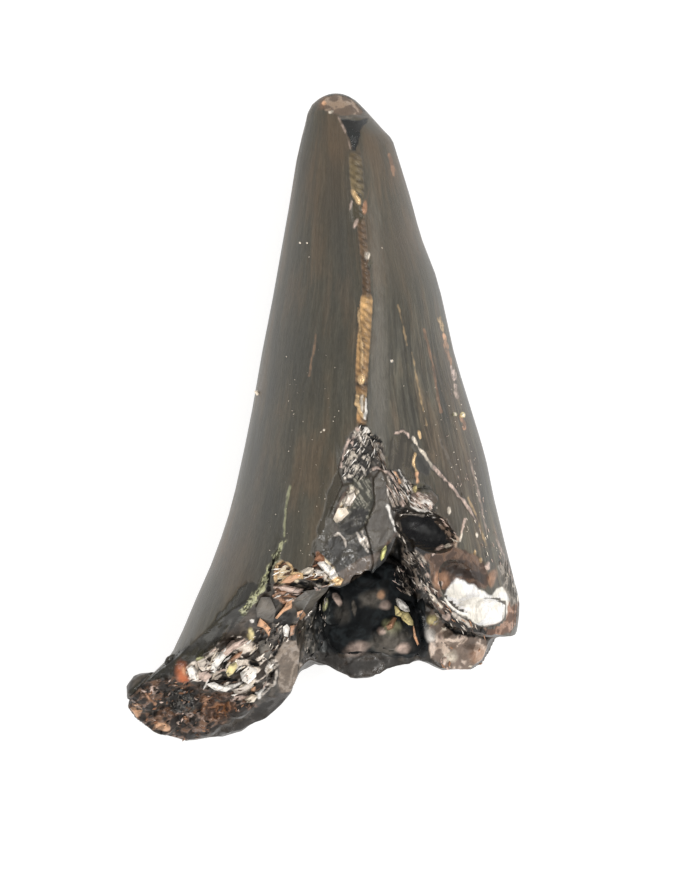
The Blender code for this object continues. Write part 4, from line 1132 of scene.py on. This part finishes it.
# %% [markdown]
# ## Thinning the skin
# The wrapped skin has far more points than a library model should carry. A plain decimation would smear
# the colours, which are kept on the points, so a point's neighbours are compared first: where colour or
# height changes from point to point the skin stays fine, and the smooth enamel and the unseen walls are
# thinned.

# %% Helpers for finished meshes
def keep_fine(mesh, coarseness, most_triangles, name):
    """Thins the mesh to most_triangles, most where coarseness is 1 and not at all where it is 0."""
    made = bpy.data.objects.new(name, mesh)
    bpy.context.scene.collection.objects.link(made)
    group = made.vertex_groups.new(name="coarse")
    for share in np.unique(coarseness[coarseness > 0]):
        group.add(np.nonzero(coarseness == share)[0].tolist(), float(share), "REPLACE")
    thin = made.modifiers.new("thin", "DECIMATE")
    thin.vertex_group = group.name
    thin.ratio = min(1.0, most_triangles / (2 * len(mesh.polygons)))
    ready = made.evaluated_get(bpy.context.evaluated_depsgraph_get())
    final = bpy.data.meshes.new_from_object(ready)
    made.modifiers.clear()
    made.vertex_groups.clear()
    made.data = final
    final.transform(((MM, 0, 0, 0), (0, MM, 0, 0), (0, 0, MM, 0), (0, 0, 0, 1)))
    final.shade_smooth()
    print(name, "has", sum(len(p.vertices) - 2 for p in final.polygons), "triangles")
    return made


def store(mesh, name, values):
    """Keeps one number, or three, for each point of the mesh, for a material to read."""
    kind, key = ("FLOAT", "value") if values.ndim == 1 else ("FLOAT_VECTOR", "vector")
    layer = mesh.attributes.new(name, kind, "POINT")
    layer.data.foreach_set(key, values.astype(np.float32).ravel())


def store_surface(mesh, surface):
    """Moves the mesh's points to the surface's, and keeps what the marks laid there."""
    mesh.vertices.foreach_set("co", surface.points.astype(np.float32).ravel())
    mesh.update()
    store(mesh, "bare", surface.bare)
    store(mesh, "mineral", surface.colour)
    store(mesh, "roughened", surface.rough)
    store(mesh, "metal", surface.metal)


# %% What the tooth's material reads
# A point's share of its section is read as millimetres on a crown of this radius, in mm. Streaks then
# narrow toward the tip
BASE_RADIUS = 8.0
# Growth lines come in from 0.6 to 2.2 mm right of the cutting edge, and fade out toward the tip
LINES_FROM, LINES_FULL = 0.6, 2.2
LINES_TOP, LINES_FULL_BELOW = 7.5, 3.0

store_surface(tooth_mesh, surface)
u, v, _, _ = in_section(tooth)
store(tooth_mesh, "grain", np.stack([u * BASE_RADIUS, tooth[:, 1], v * BASE_RADIUS], axis=1))
striated = fade(beside_edge, LINES_FROM, LINES_FULL)
striated *= fade(-tooth[:, 1], -LINES_TOP, -LINES_FULL_BELOW)
store(tooth_mesh, "striated", striated)
print("growth lines show on", int((striated > 0.5).sum()), "points")

# %% Thin the tooth's skin
THIN_TO = 195000
FINE_POINTS = 74000
# Points more bare than the first are thinned as little as the second says, where 1 is the smooth enamel
BARE_FROM, SIDE_COARSENESS = 0.6, 0.2

a, b = tooth_edges.T
shown = surface.bare * surface.colour.sum(axis=1)
contrast = np.abs(shown[a] - shown[b]) + 2 * np.abs(surface.rise[a] - surface.rise[b])
busy = np.zeros(len(tooth))
np.maximum.at(busy, a, contrast)
np.maximum.at(busy, b, contrast)
busy = spread(busy, tooth_edges, 2) + (ridge > 0.01)
fine = busy > np.sort(busy)[-FINE_POINTS]
coarseness = np.where(fine, 0.0, np.where(surface.bare > BARE_FROM, SIDE_COARSENESS, 1.0))
print("contrast from which points stay fine:", round(busy[fine].min(), 4))
tooth_piece = keep_fine(tooth_mesh, coarseness, THIN_TO, "tooth_skin")
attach(tooth_piece, "root")
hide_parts("tooth")

# %% [markdown]
# ## The tooth's finish
# The enamel is phosphate, stained dark by its burial and polished by the ground: a dense, slightly waxy
# surface, so its IOR is apatite's. Its streaks follow the growth of the crown. An image would need them
# drawn by hand, so noise is read instead from each point's place in the section, stretched along the
# tooth. On the break, the colour laid down by the marks takes over.

# %% Patterns of the enamel
# Polished phosphate looks satin to the eye: dark, with a soft sheen that the growth lines break up
APATITE_IOR = 1.63
# Repeats in a millimetre across, along and through the crown, then detail and roughness of the noise. Clouds
# of stain are 2 by 5 mm, and growth lines 0.3 mm apart. The crystals of real enamel are far too fine to
# show, so the speckle stands for them, drawn as coarse as it needs to show, 0.1 by 0.4 mm
PATTERNS = {
    "clouds": ((0.5, 0.2, 0.5), 5.0, 0.6),
    "growth_lines": ((3.2, 0.3, 3.2), 5.0, 0.65),
    "speckle": ((9.0, 2.5, 9.0), 4.0, 0.7),
}

enamel_material, tree, shader = start_material("phosphate_enamel_polished")
laid = {}
for name in ("grain", "striated", "bare", "mineral", "roughened", "metal"):
    laid[name] = add_node(tree, "ShaderNodeAttribute", attribute_name=name).outputs
patterns = {}
for name, (repeats, detail, rough) in PATTERNS.items():
    stretched = {"Vector": laid["grain"]["Vector"], "Scale": repeats}
    place = add_node(tree, "ShaderNodeMapping", stretched).outputs[0]
    texture = {"Vector": place, "Scale": 1.0, "Detail": detail, "Roughness": rough}
    patterns[name] = add_node(tree, "ShaderNodeTexNoise", texture).outputs[0]
print(len(PATTERNS), "patterns in the enamel")

# %% Colour of the tooth
# Which pattern each tone comes from, and its ramp: places in the noise and the colour or strength there
TONES = {
    "base": ("clouds", ((0.38, "#42413a"), (0.5, "#4a473d"), (0.62, "#574d3f"))),
    "lines": ("growth_lines", ((0.38, 0.55), (0.5, 0.98), (0.62, 1.75))),
    "grain": ("speckle", ((0.34, 0.82), (0.66, 1.2))),
    "mineral_grain": ("speckle", ((0.4, 0.86), (0.55, 1.08))),
}
FAINTEST_LINES = 0.3
BLENDED = {"data_type": "RGBA"}
MULTIPLIED = {"data_type": "RGBA", "blend_type": "MULTIPLY"}

tones = {}
for name, (pattern, stops) in TONES.items():
    tones[name] = add_node(tree, "ShaderNodeValToRGB", {"Fac": patterns[pattern]}, stops).outputs[0]
share_range = {"Value": laid["striated"]["Fac"], "To Min": FAINTEST_LINES}
lines_share = add_node(tree, "ShaderNodeMapRange", share_range).outputs[0]
# Inputs 0, 6 and 7 of a colour mix are its share and its two colours, and output 2 is the result
lined = {0: 1.0, 6: tones["base"], 7: tones["lines"]}
lined = add_node(tree, "ShaderNodeMix", lined, **MULTIPLIED).outputs[2]
enamel_look = {0: lines_share, 6: tones["base"], 7: lined}
enamel_look = add_node(tree, "ShaderNodeMix", enamel_look, **BLENDED).outputs[2]
enamel_look = {0: 1.0, 6: enamel_look, 7: tones["grain"]}
enamel_look = add_node(tree, "ShaderNodeMix", enamel_look, **MULTIPLIED).outputs[2]
mineral_look = {0: 1.0, 6: laid["mineral"]["Color"], 7: tones["mineral_grain"]}
mineral_look = add_node(tree, "ShaderNodeMix", mineral_look, **MULTIPLIED).outputs[2]
colour = {0: laid["bare"]["Fac"], 6: enamel_look, 7: mineral_look}
colour = add_node(tree, "ShaderNodeMix", colour, **BLENDED).outputs[2]
print(len(tones), "tones")

# %% Gloss and relief of the tooth
# Roughness on the crests and in the troughs of the growth lines: polished, but scratched by the sediment
CREST_ROUGHNESS, TROUGH_ROUGHNESS = 0.3, 0.46
# Depth in metres of the lines and of the speckle
LINE_DEPTH, SPECKLE_DEPTH = 0.00005, 0.00003

growth_lines = patterns["growth_lines"]
gloss_range = {"Value": growth_lines, "From Min": 0.3, "From Max": 0.7}
gloss_range |= {"To Min": CREST_ROUGHNESS, "To Max": TROUGH_ROUGHNESS}
enamel_roughness = add_node(tree, "ShaderNodeMapRange", gloss_range).outputs[0]
roughnesses = {0: laid["bare"]["Fac"], 2: enamel_roughness, 3: laid["roughened"]["Fac"]}
roughness = add_node(tree, "ShaderNodeMix", roughnesses, data_type="FLOAT").outputs[0]
line_height = {0: growth_lines, 1: lines_share}
line_height = add_node(tree, "ShaderNodeMath", line_height, operation="MULTIPLY").outputs[0]
line_bump = {"Height": line_height, "Strength": 0.6, "Distance": LINE_DEPTH}
relief = add_node(tree, "ShaderNodeBump", line_bump).outputs[0]
speckle_bump = {"Height": patterns["speckle"], "Strength": 0.5, "Distance": SPECKLE_DEPTH, "Normal": relief}
relief = add_node(tree, "ShaderNodeBump", speckle_bump).outputs[0]
fill(tree, shader, {"Base Color": colour, "Roughness": roughness, "Metallic": laid["metal"]["Fac"]})
fill(tree, shader, {"IOR": APATITE_IOR, "Normal": relief})
tooth_piece.data.materials.clear()
tooth_piece.data.materials.append(enamel_material)
print(len(tree.nodes), "nodes in the tooth's material")

# %% [markdown]
# ## The crust in the hollow
# A crust of small mineral lumps lines the far wall of the pulp hollow. It gets the same treatment as the
# tooth: a fine skin, pushed out by noise into lumps, then the marks that fall on it.

# %% Wrap the crust
CRUST_VOXEL = 0.06
CRUST_TRIANGLES = 90000
# Lumps of the crust: size and height in mm
LUMPS = ((0.9, 0.1), (0.35, 0.05))
# The crust's near-black is partly its own dark colour and partly painted shade of the deep hollow
DARK_CRUST_AND_SHADE = "#15191c"

crust_mesh = skin_over("cavity_crust", CRUST_VOXEL)
crust = points_of(crust_mesh)
lump_height = sum(height * waves(crust, size, 31 + k) for k, (size, height) in enumerate(LUMPS))
crust += normals_of(crust_mesh, crust) * lump_height[:, None]
crust_surface = Surface(crust, np.ones(len(crust)), DARK_CRUST_AND_SHADE)
crust_surface.rough[:] = 0.8
lay_marks(crust_surface)
crust[:, 2] += crust_surface.rise
store_surface(crust_mesh, crust_surface)
crust_piece = keep_fine(crust_mesh, np.ones(len(crust)), CRUST_TRIANGLES, "hollow_crust")
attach(crust_piece, "root")
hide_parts("cavity_crust")

# %% Material of the crust
# The crust is matt and near-black, and both its dark colour and its weak gloss are partly painted shade,
# for the deep hollow it lines. Its patches are half a millimetre wide, given as repeats in a metre
PATCH_REPEATS = (2000, 2000, 2000)

crust_material, tree, shader = start_material("hollow_crust_dark_and_shaded")
place = add_node(tree, "ShaderNodeTexCoord").outputs["Object"]
place = add_node(tree, "ShaderNodeMapping", {"Vector": place, "Scale": PATCH_REPEATS}).outputs[0]
texture = {"Vector": place, "Scale": 1.0, "Detail": 3.0, "Roughness": 0.6}
patches = add_node(tree, "ShaderNodeTexNoise", texture).outputs[0]
patch_tone = add_node(tree, "ShaderNodeValToRGB", {"Fac": patches}, ((0.35, 0.6), (0.65, 1.3))).outputs[0]
mineral = add_node(tree, "ShaderNodeAttribute", attribute_name="mineral").outputs["Color"]
colour = add_node(tree, "ShaderNodeMix", {0: 1.0, 6: mineral, 7: patch_tone}, **MULTIPLIED).outputs[2]
fill(tree, shader, {"Base Color": colour, "Roughness": 0.7, "Specular IOR Level": 0.2})
crust_piece.data.materials.clear()
crust_piece.data.materials.append(crust_material)
print(len(tree.nodes), "nodes in the crust's material")

# %% [markdown]
# ## Flakes and splinters
# The break bristles with loose flakes and splinters, and their sharp edges and flat faces are what
# glitters in the photograph. They could be particles, but an export drops those, so they become one joined
# mesh, with each one's colour kept at its corners. Flakes that can be told apart in the photograph are cut
# to their own outline and given a fold. The rest are blades, scattered inside the outlines of the zones.

# %% Flakes with an outline of their own
FLAKES = {
    "y_flake": ("orange_ochre", (
        (275, 618), (283, 608), (287, 602), (292, 600), (292, 608), (284, 612), (277, 619))),
    "flake_two": ("orange_ochre", ((260, 618), (257, 626), (263, 628), (269, 636), (271, 629), (266, 623))),
    "orange_tip": ("orange_ochre", ((297, 612), (303, 610), (306, 615), (301, 620), (297, 618))),
    "scoop_cream": ("calcite", ((333, 519), (338, 508), (346, 508), (349, 513), (341, 521), (336, 523))),
    "scoop_silver": ("silver_film", ((344, 505), (347, 494), (354, 492), (356, 497), (350, 506))),
    "foil_a": ("gold_film", ((287, 577), (294, 572), (303, 573), (303, 579), (294, 580))),
    "foil_b": ("calcite", ((300, 571), (308, 567), (314, 568), (313, 574), (303, 575))),
    "foil_c": ("white_film_and_glint", ((317, 563), (323, 560), (331, 566), (335, 574), (331, 577), (323, 571))),
    "foil_d": ("silver_film", ((314, 570), (320, 568), (328, 576), (325, 580), (317, 576))),
    "foil_apex": ("rust", ((314, 560), (318, 552), (324, 556), (325, 561), (319, 562))),
    "foil_tail": ("gold_film", ((331, 580), (336, 576), (343, 579), (341, 584), (335, 584))),
    "foil_strip": ("orange_ochre", ((281, 583), (287, 577), (298, 573), (300, 577), (290, 583))),
    "foil_curl": ("white_film_and_glint", ((328, 572), (334, 568), (338, 576), (334, 581), (329, 578))),
    "pink_fold": ("pink_film", ((274, 587), (285, 585), (304, 589), (300, 594), (288, 592))),
    "pink_sliver": ("pink_film", ((314, 587), (329, 585), (326, 590), (316, 591))),
    "chip_right": ("grey_dentine", (
        (294, 600), (306, 591), (329, 587), (326, 592), (316, 602), (312, 610), (304, 616))),
    "chip_left": ("grey_dentine", ((261, 597), (270, 597), (276, 610), (273, 622), (257, 617), (256, 608))),
    "white_slab": ("white_film_and_glint", ((283, 627), (287, 624), (290, 628), (288, 637), (284, 636))),
    "copper_slab": ("copper_film", ((290, 626), (295, 625), (294, 635), (290, 636))),
    "leaf_green": ("leaf_yellow_green", (
        (380, 557), (381, 551), (386, 545), (387, 549), (384, 558), (381, 561))),
    "leaf_yellow": ("brass_crystal", (
        (226, 673), (229, 665), (236, 662), (238, 666), (233, 674), (228, 677))),
    "arc_left": ("white_film_and_glint", ((206, 684), (214, 682), (224, 686), (232, 688), (226, 692), (214, 690))),
    "arc_right": ("silver_film", ((232, 690), (242, 687), (252, 681), (254, 686), (246, 693), (236, 695))),
    "sheet_white": ("white_film_and_glint", ((213, 665), (217, 656), (226, 650), (228, 654), (221, 663), (216, 669))),
    "crumple_one": ("silver_film", ((196, 662), (204, 658), (210, 662), (206, 670), (198, 668))),
    "crumple_two": ("pink_film", ((199, 673), (207, 671), (212, 676), (206, 682), (199, 680))),
    "white_low": ("calcite", ((244, 699), (252, 694), (258, 696), (254, 702), (247, 703))),
    "grey_facet": ("grey_dentine", ((258, 642), (267, 639), (272, 651), (268, 660), (260, 654))),
    "silver_left": ("white_film_and_glint", ((187, 669), (192, 665), (198, 671), (196, 679), (190, 678))),
    "silver_mid": ("white_film_and_glint", ((210, 671), (213, 660), (220, 654), (220, 664), (215, 673))),
    "pink_sheet": ("pink_film", ((221, 651), (231, 641), (245, 638), (243, 645), (234, 650), (226, 656))),
    "green_white": ("white_film_and_glint", ((240, 673), (248, 666), (257, 669), (256, 677), (248, 684), (242, 681))),
    "copper_strip": ("copper_film", ((227, 662), (236, 654), (243, 651), (240, 657), (231, 663))),
    "hollow_white": ("white_film_and_glint", (
        (395.7, 599), (397, 598), (400, 599), (404.5, 602), (408.5, 606.5), (410, 611.5), (405.5, 612),
        (400.5, 609), (397, 605.5))),
    "hollow_yellow": ("brass_crystal", (
        (394.5, 605.5), (397, 606.5), (398.5, 610), (402, 611.5), (408.5, 612.5), (413, 620.5),
        (413.5, 625.5), (408.5, 625), (403, 620.5), (400.5, 616.5), (395.5, 615.5))),
    "hollow_tail": ("orange_ochre", (
        (413, 626), (414, 626), (416, 634), (419, 644), (417.5, 645.5), (413.5, 637))),
    "hollow_arm": ("copper_film", ((394, 617), (397, 618), (393, 628), (388, 630.5), (386, 626))),
}
print(len(FLAKES), "cut flakes")

# %% Where blades are scattered
# Parts of the whole enamel where dust and flecks of mineral cling
OPEN_ENAMEL = {
    "left_enamel": ((280, 340), (345, 350), (340, 470), (310, 560), (262, 560)),
    "right_enamel": ((400, 380), (460, 380), (500, 560), (470, 540), (430, 460)),
    "right_flecks": ((452, 470), (476, 470), (500, 540), (512, 585), (500, 570), (470, 545), (455, 510)),
}
# For each zone: minerals, how many, length and width in mm, lean and its spread in degrees
BLADES = {
    "crumble": (("silver_film", "white_film_and_glint", "slate", "black_shade", "black_shade"), 80, 0.4, 0.06, 62, 25),
    "dark_facet": (("silver_film", "brown_oxide"), 14, 0.4, 0.05, -58, 12),
    "scoop_highlight": (("calcite", "silver_film", "gold_film"), 30, 0.4, 0.05, 58, 18),
    "fan": (("pink_film", "white_film_and_glint", "silver_film", "black_shade"), 34, 0.7, 0.06, -62, 14),
    "gap_shade": (("silver_film", "black_shade"), 18, 0.3, 0.05, 10, 30),
    "hollow_right_lip": (("pink_film", "brown_oxide", "black_shade", "calcite"), 22, 0.3, 0.08, -50, 25),
    "hollow_left_lip": (("grey_dentine", "black_shade", "silver_film"), 26, 0.3, 0.08, -60, 25),
    "glossy_patch": (("white_film_and_glint", "pink_film", "silver_film", "brown_oxide"), 26, 0.34, 0.08, -40, 20),
    "fleck_slope": (
        ("silver_film", "pink_film", "black_shade", "slate", "grey_dentine"), 80, 0.36, 0.08, -55, 35),
    "under_lobe": (("copper_film", "silver_film", "black_shade"), 40, 0.4, 0.07, -50, 25),
    "far_lump": (("pink_film", "calcite", "copper_film"), 20, 0.3, 0.14, 0, 90),
    "silver_mass": (("calcite", "pink_film", "calcite", "white_film_and_glint", "brown_oxide"), 50, 0.6, 0.13, 40, 30),
    "crumbly_end": (
        ("brown_oxide", "rust", "brown_oxide", "copper_film", "black_shade", "brown_oxide", "pink_film"),
        150, 0.26, 0.11, 30, 60),
    "gritty_centre": (("slate", "grey_dentine", "black_shade"), 60, 0.16, 0.08, 0, 90),
    "dark_middle": (("black_shade", "silver_film", "brown_oxide", "grey_dentine"), 70, 0.34, 0.09, 60, 35),
    "pink_fold": (("pink_film", "white_film_and_glint", "copper_film"), 26, 0.5, 0.08, 12, 18),
    "foil": (("gold_film", "calcite", "rust", "white_film_and_glint", "black_shade"), 45, 0.5, 0.1, 25, 22),
    "left_enamel": (("calcite", "grey_dentine"), 80, 0.07, 0.05, 0, 90),
    "right_enamel": (("calcite", "pink_film"), 50, 0.08, 0.05, 0, 90),
    "right_flecks": (("pink_film", "calcite", "grey_dentine"), 45, 0.24, 0.05, -68, 10),
    "crust_band": (("green_crust", "green_crust", "apple_green", "olive_dentine"), 40, 0.26, 0.1, 60, 25),
    "hollow_left_wall": (("grey_dentine", "black_shade", "silver_film"), 50, 0.3, 0.09, 75, 30),
}
# Grains of dust and sand stuck to the enamel: place on the photograph and half width in mm
DUST = {
    (257, 393): 0.17, (300, 243): 0.06, (307, 243): 0.05, (309, 257): 0.04, (324, 430): 0.08,
    (321, 432): 0.06, (392, 361): 0.08, (382, 248): 0.05, (463, 415): 0.12, (455, 414): 0.1,
}
print(sum(row[1] for row in BLADES.values()), "blades at most, and", len(DUST), "grains")

# %% The ground under the flakes
GROUND_CELL = 0.1
GROUND_CELLS = (600, 700)


def cells_of(x, y):
    """The cell of the ground's map that each place falls in."""
    return tuple(np.floor(np.stack([x, y]) / GROUND_CELL).astype(int) + MAP_MIDDLE)


def ground_height(x, y):
    """The height of the highest skin over each place, and 0 beside the fossil."""
    height = ground_map[cells_of(x, y)]
    return np.where(height > NOTHING, height, 0.0)


ground_map = np.full(GROUND_CELLS, NOTHING)
for skin in (tooth, crust):
    np.maximum.at(ground_map, cells_of(skin[:, 0], skin[:, 1]), skin[:, 2])
print("highest ground", round(ground_map.max(), 2), "mm")

# %% Shapes of a flake and a blade
# A flake's thickness, and how high it may lie over the ground under it, at least and at most
FLAKE_THICKNESS, LOWEST_FLAKE, HIGHEST_FLAKE = 0.12, 0.03, 0.2
# The usual height of its rim, the fold's rise over that, and how much the corners stray
FLAKE_LIFT, FOLD_RISE, FLAKE_STRAY = 0.08, 0.12, 0.1
# The folded middle's size as a share of the outline
FOLD_SHARE = 0.55

blade_points, blade_faces, blade_marks = [], [], []


def add_shard(points, faces, mineral, tone):
    """Keeps a shard for the joined mesh, in its mineral's colour as light or dark as tone says."""
    colour, rough, metal = MINERALS[mineral]
    start = sum(len(part) for part in blade_points)
    blade_points.append(points)
    blade_faces.extend([tuple(start + k for k in face) for face in faces])
    marks = np.empty((len(points), 5))
    marks[:, :3] = linear(colour) * np.reshape(tone, (-1, 1))
    marks[:, 3:] = rough, metal
    blade_marks.append(marks)


def flake(mineral, outline, random):
    """A folded flake cut to an outline and laid on the ground under it."""
    x, y = on_table(outline).T
    lie, *_ = np.linalg.lstsq(np.stack([x, y, np.ones(len(x))], axis=1), ground_height(x, y), rcond=None)
    centre = np.array((x.mean(), y.mean()))
    rings = []
    for share, lift in ((1.0, 0.0), (FOLD_SHARE, FOLD_RISE)):
        ring = centre + (np.stack([x, y], axis=1) - centre) * share
        stray = random.uniform(-FLAKE_STRAY, FLAKE_STRAY, len(x))
        height = ring @ lie[:2] + lie[2] + FLAKE_LIFT + lift + stray
        most = ground_height(x, y).max() + HIGHEST_FLAKE
        height = np.clip(height, ground_height(*ring.T) + LOWEST_FLAKE, most)
        rings.append(np.column_stack([ring, height]))
    under = rings[0] - (0, 0, FLAKE_THICKNESS)
    points = np.vstack([under, rings[0], rings[1], rings[1].mean(axis=0) + (0, 0, 0.03)])
    count = len(x)
    faces = []
    for k in range(count):
        after = (k + 1) % count
        faces.append((k, after, count + after, count + k))
        faces.append((count + k, count + after, 2 * count + after, 2 * count + k))
        faces.append((2 * count + k, 2 * count + after, 3 * count))
    # Painted shade on the underside, a painted highlight on the fold's top, and random painted light between
    rim_tones, fold_tones = random.uniform(0.3, 1.1, count), random.uniform(0.6, 1.2, count)
    add_shard(points, faces, mineral, np.r_[np.full(count, 0.3), rim_tones, fold_tones, 1.15])


def blade(mineral, x, y, length, width, angle, random):
    """A splinter with a pointed end each way and a ridge along it."""
    ends, sides = [(-0.5, 0, 0), (0.5, 0, 0)], [(0.1, -0.5, 0), (-0.1, 0.5, 0)]
    body = np.array(ends + sides + [(0.05, 0.1, 0.4), (0, 0, -0.4)]) * (length, width, width)
    roll, pitch = random.uniform(-0.7, 0.7), random.uniform(-0.45, 0.45)
    turn_roll = np.array([(1, 0, 0), (0, np.cos(roll), -np.sin(roll)), (0, np.sin(roll), np.cos(roll))])
    turn_pitch = np.array([(np.cos(pitch), 0, np.sin(pitch)), (0, 1, 0), (-np.sin(pitch), 0, np.cos(pitch))])
    turn_flat = np.array([(np.cos(angle), -np.sin(angle), 0), (np.sin(angle), np.cos(angle), 0), (0, 0, 1)])
    body = body @ (turn_flat @ turn_pitch @ turn_roll).T
    z = ground_height(np.array([x]), np.array([y]))[0]
    faces = ((0, 4, 2), (2, 4, 1), (1, 4, 3), (3, 4, 0), (0, 2, 5), (2, 1, 5), (1, 3, 5), (3, 0, 5))
    faces = tuple(face[::-1] for face in faces)
    add_shard(body + (x, y, z + 0.3 * width), faces, mineral, random.uniform(0.6, 1.1))


# %% Lay the flakes and scatter the blades
# Places tried for each blade wanted, how far inside the outline it has to lie, and the lowest height of dust
TRIES, INSIDE, DUST_FLOOR = 6, 0.05, 1.0

random = np.random.default_rng(12)
for mineral, outline in FLAKES.values():
    flake(mineral, outline, random)
outlines = {name: zone.outline for name, zone in ZONES.items()} | OPEN_ENAMEL
for name, (minerals, count, length, width, lean, spread_angle) in BLADES.items():
    corners = on_table(outlines[name])
    low, high = corners.min(axis=0), corners.max(axis=0)
    tries = random.uniform(low, high, (count * TRIES, 2))
    tries = tries[rim_distance(outlines[name], *tries.T) > INSIDE][:count]
    for x, y in tries:
        size = random.uniform(0.5, 1.25)
        angle = np.radians(lean + random.uniform(-spread_angle, spread_angle))
        blade(random.choice(minerals), x, y, length * size, width * size, angle, random)
for place_on_photo, half in DUST.items():
    x, y = on_table(place_on_photo)
    if ground_height(np.array([x]), np.array([y]))[0] >= DUST_FLOOR:
        blade("calcite", x, y, 2.2 * half, 1.6 * half, random.uniform(0, 3), random)
print(len(blade_points), "flakes, splinters and grains")

# %% Join them in one mesh
LOWEST_SHARD = 0.02

shard_mesh = bpy.data.meshes.new("shards")
shard_points = np.vstack(blade_points)
shard_points[:, 2] = np.clip(shard_points[:, 2], LOWEST_SHARD, cad_high[2] / MM)
shard_mesh.from_pydata((shard_points * MM).tolist(), [], blade_faces)
shard_marks = np.vstack(blade_marks)
store(shard_mesh, "mineral", shard_marks[:, :3])
store(shard_mesh, "roughened", shard_marks[:, 3])
store(shard_mesh, "metal", shard_marks[:, 4])
shard_piece = bpy.data.objects.new("loose_shards", shard_mesh)
bpy.context.scene.collection.objects.link(shard_piece)
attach(shard_piece, "root")
print(len(blade_faces), "faces")

# %% [markdown]
# ## The flakes' finish
# Calcite films and sulphide skins are mirror-smooth on each face, and their folds throw hard glints beside
# deep shade. One material serves all of them, because each shard brings its own colour, roughness and
# metallic share. Strokes of shade that lean like the folds stand for creases too small to model.

# %% Material of the flakes
# The strokes are 0.8 mm long and 0.2 mm apart, coarser than real creases, so that they show
PER_METRE = (1000, 1000, 1000)
STROKE_LEAN = -0.7
STROKE_REPEATS = (1.2, 4.8, 2.4)
STROKE_DEPTH = 0.0001

shard_material, tree, shader = start_material("calcite_and_oxide_films")
laid = {}
for name in ("mineral", "roughened", "metal"):
    laid[name] = add_node(tree, "ShaderNodeAttribute", attribute_name=name).outputs
place = add_node(tree, "ShaderNodeTexCoord").outputs["Object"]
leaned = {"Vector": place, "Rotation": (0, 0, STROKE_LEAN), "Scale": PER_METRE}
place = add_node(tree, "ShaderNodeMapping", leaned).outputs[0]
place = add_node(tree, "ShaderNodeMapping", {"Vector": place, "Scale": STROKE_REPEATS}).outputs[0]
texture = {"Vector": place, "Scale": 1.0, "Detail": 3.0, "Roughness": 0.6}
strokes = add_node(tree, "ShaderNodeTexNoise", texture).outputs[0]
stroke_tone = add_node(tree, "ShaderNodeValToRGB", {"Fac": strokes}, ((0.32, 0.4), (0.48, 1.15))).outputs[0]
toned = {0: 1.0, 6: laid["mineral"]["Color"], 7: stroke_tone}
colour = add_node(tree, "ShaderNodeMix", toned, **MULTIPLIED).outputs[2]
creases = {"Height": strokes, "Strength": 0.8, "Distance": STROKE_DEPTH}
relief = add_node(tree, "ShaderNodeBump", creases).outputs[0]
fill(tree, shader, {"Base Color": colour, "Normal": relief})
fill(tree, shader, {"Roughness": laid["roughened"]["Fac"], "Metallic": laid["metal"]["Fac"]})
shard_mesh.materials.append(shard_material)
print(len(tree.nodes), "nodes in the flakes' material")
